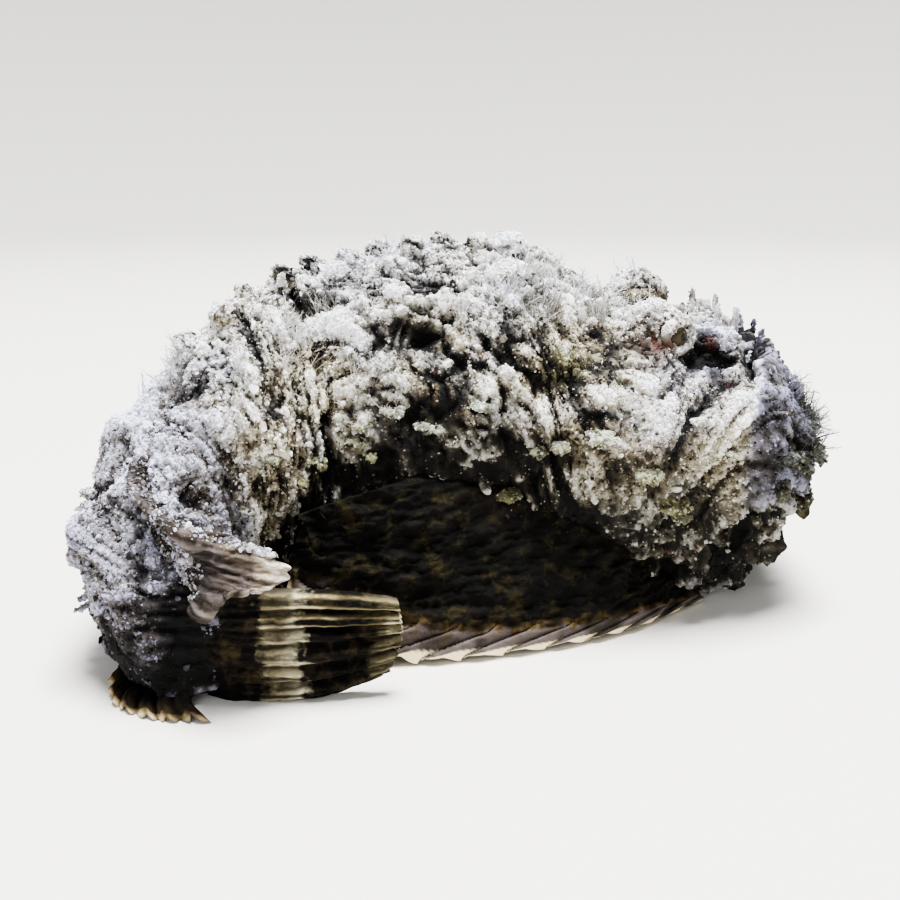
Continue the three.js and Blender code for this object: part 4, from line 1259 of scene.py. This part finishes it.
def make_fin(
    name, nodes, material, lines, rays, grid, thick,
    scallop=0.0, slant=0.0, pleat=0.0, pleated=(0.1, 0.5), wrinkle=0.3, rope=0.0, faded=0.0,
    crust=None, coated_end=0.0, place_on=(0.5, 0.5),
):
    """A fin as one closed sheet: both faces of a lofted grid, joined round their rim.

    The half thickness is the web's plus a round ridge on each ray. The web is drawn in between the tips by
    the scallop, and the whole is thrown into pleats two rays wide. Near a roped margin the rays slant by so
    many pitches and swell into strands, each high on one side and falling away under the next. Crust is the
    share of each ray over which the coat thins out, coated_end the share of the fin at its front end where
    it reaches the margin, and place_on the fin's place on the skin's unwrap.
    """
    columns, rows = grid
    root, edge, ridge = thick
    u, v = np.meshgrid(np.linspace(0, 1, columns), np.linspace(0, 1, rows) ** 0.85, indexing="ij")
    uneven = 0.16 * np.sin(2 * math.pi * u * rays / 5.3 + 1) + 0.1 * np.sin(2 * math.pi * u * rays / 2.3)
    phase = u * rays - 0.5 + slant * smooth(v, *SLANTED) + uneven * (slant == 0)
    on_ray = 0.5 + 0.5 * np.cos(2 * math.pi * phase)
    across = fraction(phase)
    strand = np.sqrt(np.clip(1 - across, 0, 1)) * smooth(across, 0, 0.14)
    low = smooth(curve(lines[2], u)[..., 2], 26, 10) if rope else 1.0
    in_rope = smooth(v, *ROPED) * low * (rope > 0)
    lobes = scallop * smooth(u, 0, 0.2) * (1 - np.sqrt(on_ray)) * (1 + 0.5 * np.sin(5 * phase))
    reach = 1 - lobes - 0.035 * (1 - across) * (rope > 0)
    middle = loft(lines, u, v * reach)
    normal = unit(np.cross(np.gradient(middle, axis=0), np.gradient(middle, axis=1)))
    normal = normal * np.sign(np.sum(normal * (middle - np.array([-20, -10, 30])), axis=-1).mean())
    half = (mix(root, edge, v) + ridge * on_ray * smooth(v, 0.02, 0.2) * (1 - in_rope)) / 2 + 0.2 * in_rope
    drawn = rough(middle * np.array([0.3, 0.3, 1.6]), 3.2, 3, 26)
    waves = 0.4 * np.sin(middle[..., 2] * 2.4 + 4 * noise(middle, 9, 21) + 3 * noise(middle, 3, 22))
    creases = waves + 1.3 * drawn
    rumple = wrinkle * (1 - in_rope) * (creases * 0.6 + 1.4 * rough(middle, 7, 4, 23))
    fold = pleat * np.sin(math.pi * phase) * smooth(v, *pleated) + rumple * smooth(v, 0.0, 0.15)
    fold = fold + rope * in_rope * (strand - 0.3) * smooth(1.02 - v, 0, 0.05)
    middle = middle + normal * fold[..., None]
    faces_at = [middle + normal * half[..., None], middle - normal * half[..., None]]
    points = np.concatenate([f.reshape(-1, 3) for f in faces_at])
    points[:, 2] = np.maximum(points[:, 2], FIN_CLEAR)
    quads = grid_quads(columns, rows)
    under = columns * rows
    rim = np.concatenate([
        np.arange(columns - 1) * rows, (columns - 1) * rows + np.arange(rows - 1),
        np.arange(columns - 1, 0, -1) * rows + rows - 1, np.arange(rows - 1, 0, -1),
    ])
    ahead = np.roll(rim, -1)
    band = np.stack([rim, rim + under, ahead + under, ahead], axis=1)
    faces = [np.concatenate([quads, quads[:, ::-1] + under, band[:, ::-1]])]
    fading = 1 - faded * (smooth(u, 0.68, 0.85) + smooth(u, 0.16, 0.04))
    kept = {
        "outward": v * mix(0.68, 1.0, low) * fading,
        "upward": u,
        "ray": mix(on_ray, strand, in_rope),
        "tip": smooth((v - 0.91) / 0.09 + across, 1.0, 1.15) * in_rope,
        # depth: low in the creases, where the fin's colour gets painted shade.
        "depth": smooth(rough(middle, 8, 3, 24) + 0.3 * creases, -0.4, 0.6),
    }
    if crust:
        around, along = place_on
        station = mix(along, along + 0.04, u)
        height = 0.45 + 0.35 * kept["depth"]
        kept.update(skin_fields(BODY_LENGTH * station, middle[..., 1], middle[..., 2], normal, height))
        kept.update(along=station, around=mix(around, around + 0.04, v))
        kept["bare"] = smooth(v + 0.15 * noise(middle, 6, 25), *crust)
        if coated_end:
            kept["bare"] = kept["bare"] * smooth(u, 0.4 * coated_end, coated_end)
        # The roped fan lies under the flank: its crumbs get no silt or top light, near full painted shade
        # and lower crests.
        if rope:
            kept["silt"] = 0 * v
            kept["shade"] = np.maximum(kept["shade"], 0.95)
            kept["crest"] = 0.5 * kept["crest"]
    kept = {key: np.tile(np.broadcast_to(value, u.shape).ravel(), 2) for key, value in kept.items()}
    return add_mesh(name, points, faces, material, nodes, kept)


# Eyes.

def eye_material():
    """A dull, wet eye: a small dark pupil in an olive and rust iris, speckled like the skin round it."""
    material, add = start_material("eye_wet_cornea_over_mottled_iris")
    out = add("Attribute", output="Fac", attribute_name="from_gaze")
    speckle = add("Math", (grains(add, 1.1, 4), 0.3, -0.15), operation="MULTIPLY_ADD")
    speckled = add("Math", (out, speckle), operation="ADD", use_clamp=True)
    iris = add("ValToRGB", (speckled,), stops=(
        (0.0, "#2e2917"), (0.12, "#3d3620"), (0.22, "#322a19"), (0.3, "#351f15"), (0.5, "#271711"),
        (1.0, "#1f130e"),
    ))
    pupil = add("Math", (out, 0.085), operation="LESS_THAN")
    finish(add, {
        "Base Color": lay_over(add, iris, [((pupil,), "#040404", "MIX")]), "Roughness": 0.45, "IOR": 1.38,
        "Specular IOR Level": 0.25, "Coat Weight": 0.15, "Coat Roughness": 0.12,
    })
    return material


def make_eye(side, material):
    """An eyeball: a sphere about its gaze, with the pupil's place kept as the angle from the gaze."""
    name = "right" if side < 0 else "left"
    _, eye, gaze = eye_places(side)
    rows, columns = 38, 48
    polar = np.linspace(0, math.pi, rows + 2)[1:-1, None, None]
    across = unit(np.cross(gaze, UP))
    ring = circle(across, np.cross(across, gaze), turns(columns)[:, None])
    out = circle(gaze, ring, polar)
    points, faces = closed_tube(eye + EYE["radius"] * out)
    points[-2:] = [eye + EYE["radius"] * gaze, eye - EYE["radius"] * gaze]
    kept = {"from_gaze": np.append(np.repeat(polar / math.pi, columns), [0, 1])}
    return add_mesh(f"eyeball_{name}", points, faces, material, (f"eye_{name}",), kept)


# The studio. Places are in mm, and each light is (name, place, the point it faces, watts).
LIGHTS = [
    ("overhead_softbox", (120, 60, 2200), (0, -20, 40), 218),
    ("front_fill", (-300, -1100, 700), (0, -30, 40), 6),
]
SOFTBOX = 0.9  # side of each light, in metres
CAMERA = {"lens": 40, "sensor": 36, "place": (-15, -320, 140), "down": 16.7}


# Operators.

def skin_finish(context):
    """The crusted skin's material, made once and shared by every piece of that finish."""
    name = "crusted_skin_with_painted_light_and_shade"
    return bpy.data.materials.get(name) or crusted_skin(name, context.scene.stonefish_colours)


class STONEFISH_OT_skin(bpy.types.Operator):
    """Make the skin that stands for the head, jaw, trunk and tail"""

    bl_idname = "stonefish.skin"
    bl_label = "Skin"
    bl_options = {"REGISTER", "UNDO"}

    def execute(self, context):
        make_skin(context.scene.stonefish_sizes, skin_finish(context))
        return {"FINISHED"}


class STONEFISH_OT_sheaths(bpy.types.Operator):
    """Make the warty sheaths of the dorsal spines"""

    bl_idname = "stonefish.sheaths"
    bl_label = "Dorsal spine sheaths"
    bl_options = {"REGISTER", "UNDO"}

    def execute(self, context):
        make_sheaths(skin_finish(context))
        return {"FINISHED"}


class STONEFISH_OT_face(bpy.types.Operator):
    """Make the lids, the nostrils' rims and the skin flaps"""

    bl_idname = "stonefish.face"
    bl_label = "Lids, nostrils and flaps"
    bl_options = {"REGISTER", "UNDO"}

    def execute(self, context):
        make_face(skin_finish(context))
        make_flaps(skin_finish(context))
        return {"FINISHED"}


class STONEFISH_OT_fins(bpy.types.Operator):
    """Make the soft dorsal, tail, anal, pectoral and pelvic fins"""

    bl_idname = "stonefish.fins"
    bl_label = "Fins"
    bl_options = {"REGISTER", "UNDO"}

    def execute(self, context):
        # The pectoral fans' near black middle is partly their dark skin and partly painted shade under the
        # overhanging flank.
        broad = fin_membrane("pectoral_fin_skin_dark_wrinkled", (
            (0.0, "#211c15"), (0.16, "#110e0a"), (0.5, "#0b0906"), (0.72, "#110d09"), (0.78, "#4c3d20"),
            (0.83, "#5d5451"), (0.9, "#665e5b"), (1.0, "#6d6462"),
        ), "#2c2119", "#40391f")
        banded = fin_membrane("tail_fin_skin_banded", (
            (0.0, "#0b0908"), (0.3, "#110d0a"), (0.37, "#a89e80"), (0.49, "#d6cfb2"), (0.55, "#1c1612"),
            (0.84, "#0f0c0a"), (0.9, "#a39a78"), (1.0, "#d3c9a6"),
        ), "#30271c", "#4b3f2a", folded=0.3, lines=17)
        pale_tipped = fin_membrane("dorsal_fin_skin_pale_tipped", (
            (0.0, "#45403f"), (0.3, "#686262"), (0.62, "#8b827c"), (0.84, "#ab9f8e"), (0.93, "#f0e7d8"),
            (1.0, "#f4ecdf"),
        ), "#6b5d52", "#7a7072", lines=13)
        pale_rimmed = fin_membrane("anal_fin_skin_pale_rimmed", (
            (0.0, "#120e0a"), (0.6, "#1d1711"), (0.86, "#332919"), (0.94, "#b59f74"), (1.0, "#dccda9"),
        ), "#2a2118", "#2f271b")
        make_fin(
            "soft_dorsal_fin", ["dorsal_fin_soft"], pale_tipped, SOFT_DORSAL, 8, (150, 90), (2.6, 0.9, 0.5),
            scallop=0.038, pleat=0.2, pleated=(0.6, 0.95), wrinkle=0.7, faded=0.3, crust=(0.15, 0.55),
            coated_end=0.35, place_on=(0.5, 0.83),
        )
        make_fin(
            "tail_fin", ["caudal_fin"], banded, CAUDAL, 12, (190, 110), (3.4, 1.2, 1.2),
            scallop=0.04, pleat=1.1, wrinkle=0.45, crust=(0.0, 0.15), place_on=(0.6, 0.94),
        )
        make_fin(
            "anal_fin_web", ["anal_fin"], pale_rimmed, ANAL, 13, (150, 50), (2.4, 0.8, 0.5),
            scallop=0.06, pleat=0.9, wrinkle=0.4,
        )
        for side, turn in (("right", -1), ("left", 1)):
            make_fin(
                f"pectoral_fan_{side}", [f"pectoral_fin_{side}"], broad, PECTORAL[side], 14, (280, 96),
                (3.0, 1.1, 0.9), scallop=0.02, slant=1.5, wrinkle=0.95, rope=2.6, crust=(0.02, 0.16),
                place_on=(0.2 if turn < 0 else 0.8, 0.3),
            )
            pelvic = [[(x, 4 + turn * y, z) for x, y, z in points] for points in PELVIC]
            make_fin(
                f"pelvic_fan_{side}", [f"pelvic_fin_{side}"], broad, pelvic, 5, (90, 40), (2, 1, 0.7),
                scallop=0.08,
            )
        return {"FINISHED"}


class STONEFISH_OT_eyes(bpy.types.Operator):
    """Make both eyes"""

    bl_idname = "stonefish.eyes"
    bl_label = "Eyes"
    bl_options = {"REGISTER", "UNDO"}

    def execute(self, context):
        material = eye_material()
        for side in (-1, 1):
            make_eye(side, material)
        return {"FINISHED"}


class STONEFISH_OT_coat(bpy.types.Operator):
    """Make the crumbs of silt and coralline crust, and the algae turf"""

    bl_idname = "stonefish.coat"
    bl_label = "Coat"
    bl_options = {"REGISTER", "UNDO"}

    def execute(self, context):
        sizes = context.scene.stonefish_sizes
        finish_of_coat = skin_finish(context)
        pieces = [(f"crust_grains_{k + 1}", 100 + k, 1.0, octahedron(), 0.95) for k in range(4)]
        pieces.append(("crust_crumbs", 110, 0.39, icosahedron(), 1.35))
        pieces.append(("crust_flakes", 111, 0.07, icosahedron(), 1.9))
        for name, seed, share, shape, large in pieces:
            make_crumbs(name, sizes, finish_of_coat, seed, int(sizes.crumbs * share), shape, large)
        make_turf("algae_turf", sizes, finish_of_coat, 200, 0.95)
        make_sprigs("algae_sprigs", SPRIGS, finish_of_coat, 300)
        return {"FINISHED"}


class STONEFISH_OT_stage(bpy.types.Operator):
    """Make the floor, the studio light and the camera"""

    bl_idname = "stonefish.stage"
    bl_label = "Stage"
    bl_options = {"REGISTER", "UNDO"}

    def execute(self, context):
        scene = context.scene
        make_floor(scene.stonefish_colours.floor)
        world = bpy.data.worlds.new("studio")
        world.use_nodes = True
        world.node_tree.nodes["Background"].inputs["Color"].default_value = (0.9, 0.93, 1.0, 1)
        world.node_tree.nodes["Background"].inputs["Strength"].default_value = 0.23
        scene.world = world
        for light in LIGHTS:
            add_light(*light)
        camera = bpy.data.objects.new("camera", bpy.data.cameras.new("camera"))
        camera.data.lens = CAMERA["lens"]
        camera.data.sensor_width = CAMERA["sensor"]
        camera.data.clip_start = 0.01
        camera.location = [v * MM for v in CAMERA["place"]]
        camera.rotation_euler = (math.pi / 2 - math.radians(CAMERA["down"]), 0, 0)
        scene.collection.objects.link(camera)
        scene.camera = camera
        scene.view_settings.view_transform = "AgX"
        scene.view_settings.look = "AgX - Medium High Contrast"
        return {"FINISHED"}


def make_floor(colour):
    """A round studio floor, flat near the fish, that rises with the square of the way past the flat."""
    flat = 1500
    columns = 96
    radius = np.concatenate([[0.001], np.linspace(40, flat, 12), np.linspace(1600, 3200, 24)])[:, None]
    turn = turns(columns)[None]
    height = np.maximum(radius - flat, 0) ** 2 / 2200
    points = stacked(radius * np.cos(turn), radius * np.sin(turn), height)
    faces = grid_quads(len(radius), columns, wrap=True)
    mesh = bpy.data.meshes.new("floor")
    mesh.from_pydata((points.reshape(-1, 3) * MM).tolist(), [], faces.tolist())
    mesh.polygons.foreach_set("use_smooth", np.ones(len(faces), bool))
    material, add = start_material("matt_studio_floor")
    finish(add, {"Base Color": (*colour, 1), "Roughness": 0.9})
    mesh.materials.append(material)
    floor = bpy.data.objects.new("floor", mesh)
    bpy.context.scene.collection.objects.link(floor)


def add_light(name, at, towards, power):
    """A square soft light, turned towards a point."""
    light = bpy.data.lights.new(name, "AREA")
    light.size = SOFTBOX
    light.energy = power
    lamp = bpy.data.objects.new(name, light)
    lamp.location = [v * MM for v in at]
    x, y, z = np.array(at, float) - np.array(towards, float)
    lamp.rotation_euler = (math.atan2(math.hypot(x, y), z), 0, math.atan2(x, -y))
    bpy.context.scene.collection.objects.link(lamp)


class STONEFISH_PT_panel(bpy.types.Panel):
    """The stonefish's settings and steps"""

    bl_label = "Stonefish"
    bl_idname = "STONEFISH_PT_panel"
    bl_space_type = "VIEW_3D"
    bl_region_type = "UI"
    bl_category = "Stonefish"

    def draw(self, context):
        for group in (context.scene.stonefish_sizes, context.scene.stonefish_colours):
            for key in group.__annotations__:
                self.layout.prop(group, key)
        for operator in OPERATORS:
            self.layout.operator(operator.bl_idname)


OPERATORS = (
    STONEFISH_OT_skin, STONEFISH_OT_sheaths, STONEFISH_OT_face, STONEFISH_OT_fins, STONEFISH_OT_eyes,
    STONEFISH_OT_coat, STONEFISH_OT_stage,
)
CLASSES = (StonefishSizes, StonefishColours, *OPERATORS, STONEFISH_PT_panel)


def register():
    for cls in CLASSES:
        bpy.utils.register_class(cls)
    bpy.types.Scene.stonefish_sizes = bpy.props.PointerProperty(type=StonefishSizes)
    bpy.types.Scene.stonefish_colours = bpy.props.PointerProperty(type=StonefishColours)


def unregister():
    del bpy.types.Scene.stonefish_colours
    del bpy.types.Scene.stonefish_sizes
    for cls in reversed(CLASSES):
        bpy.utils.unregister_class(cls)


def main():
    register()
    bpy.ops.stonefish.skin()
    bpy.ops.stonefish.sheaths()
    bpy.ops.stonefish.face()
    bpy.ops.stonefish.fins()
    bpy.ops.stonefish.eyes()
    bpy.ops.stonefish.coat()
    bpy.ops.stonefish.stage()


if __name__ == "__main__":
    main()
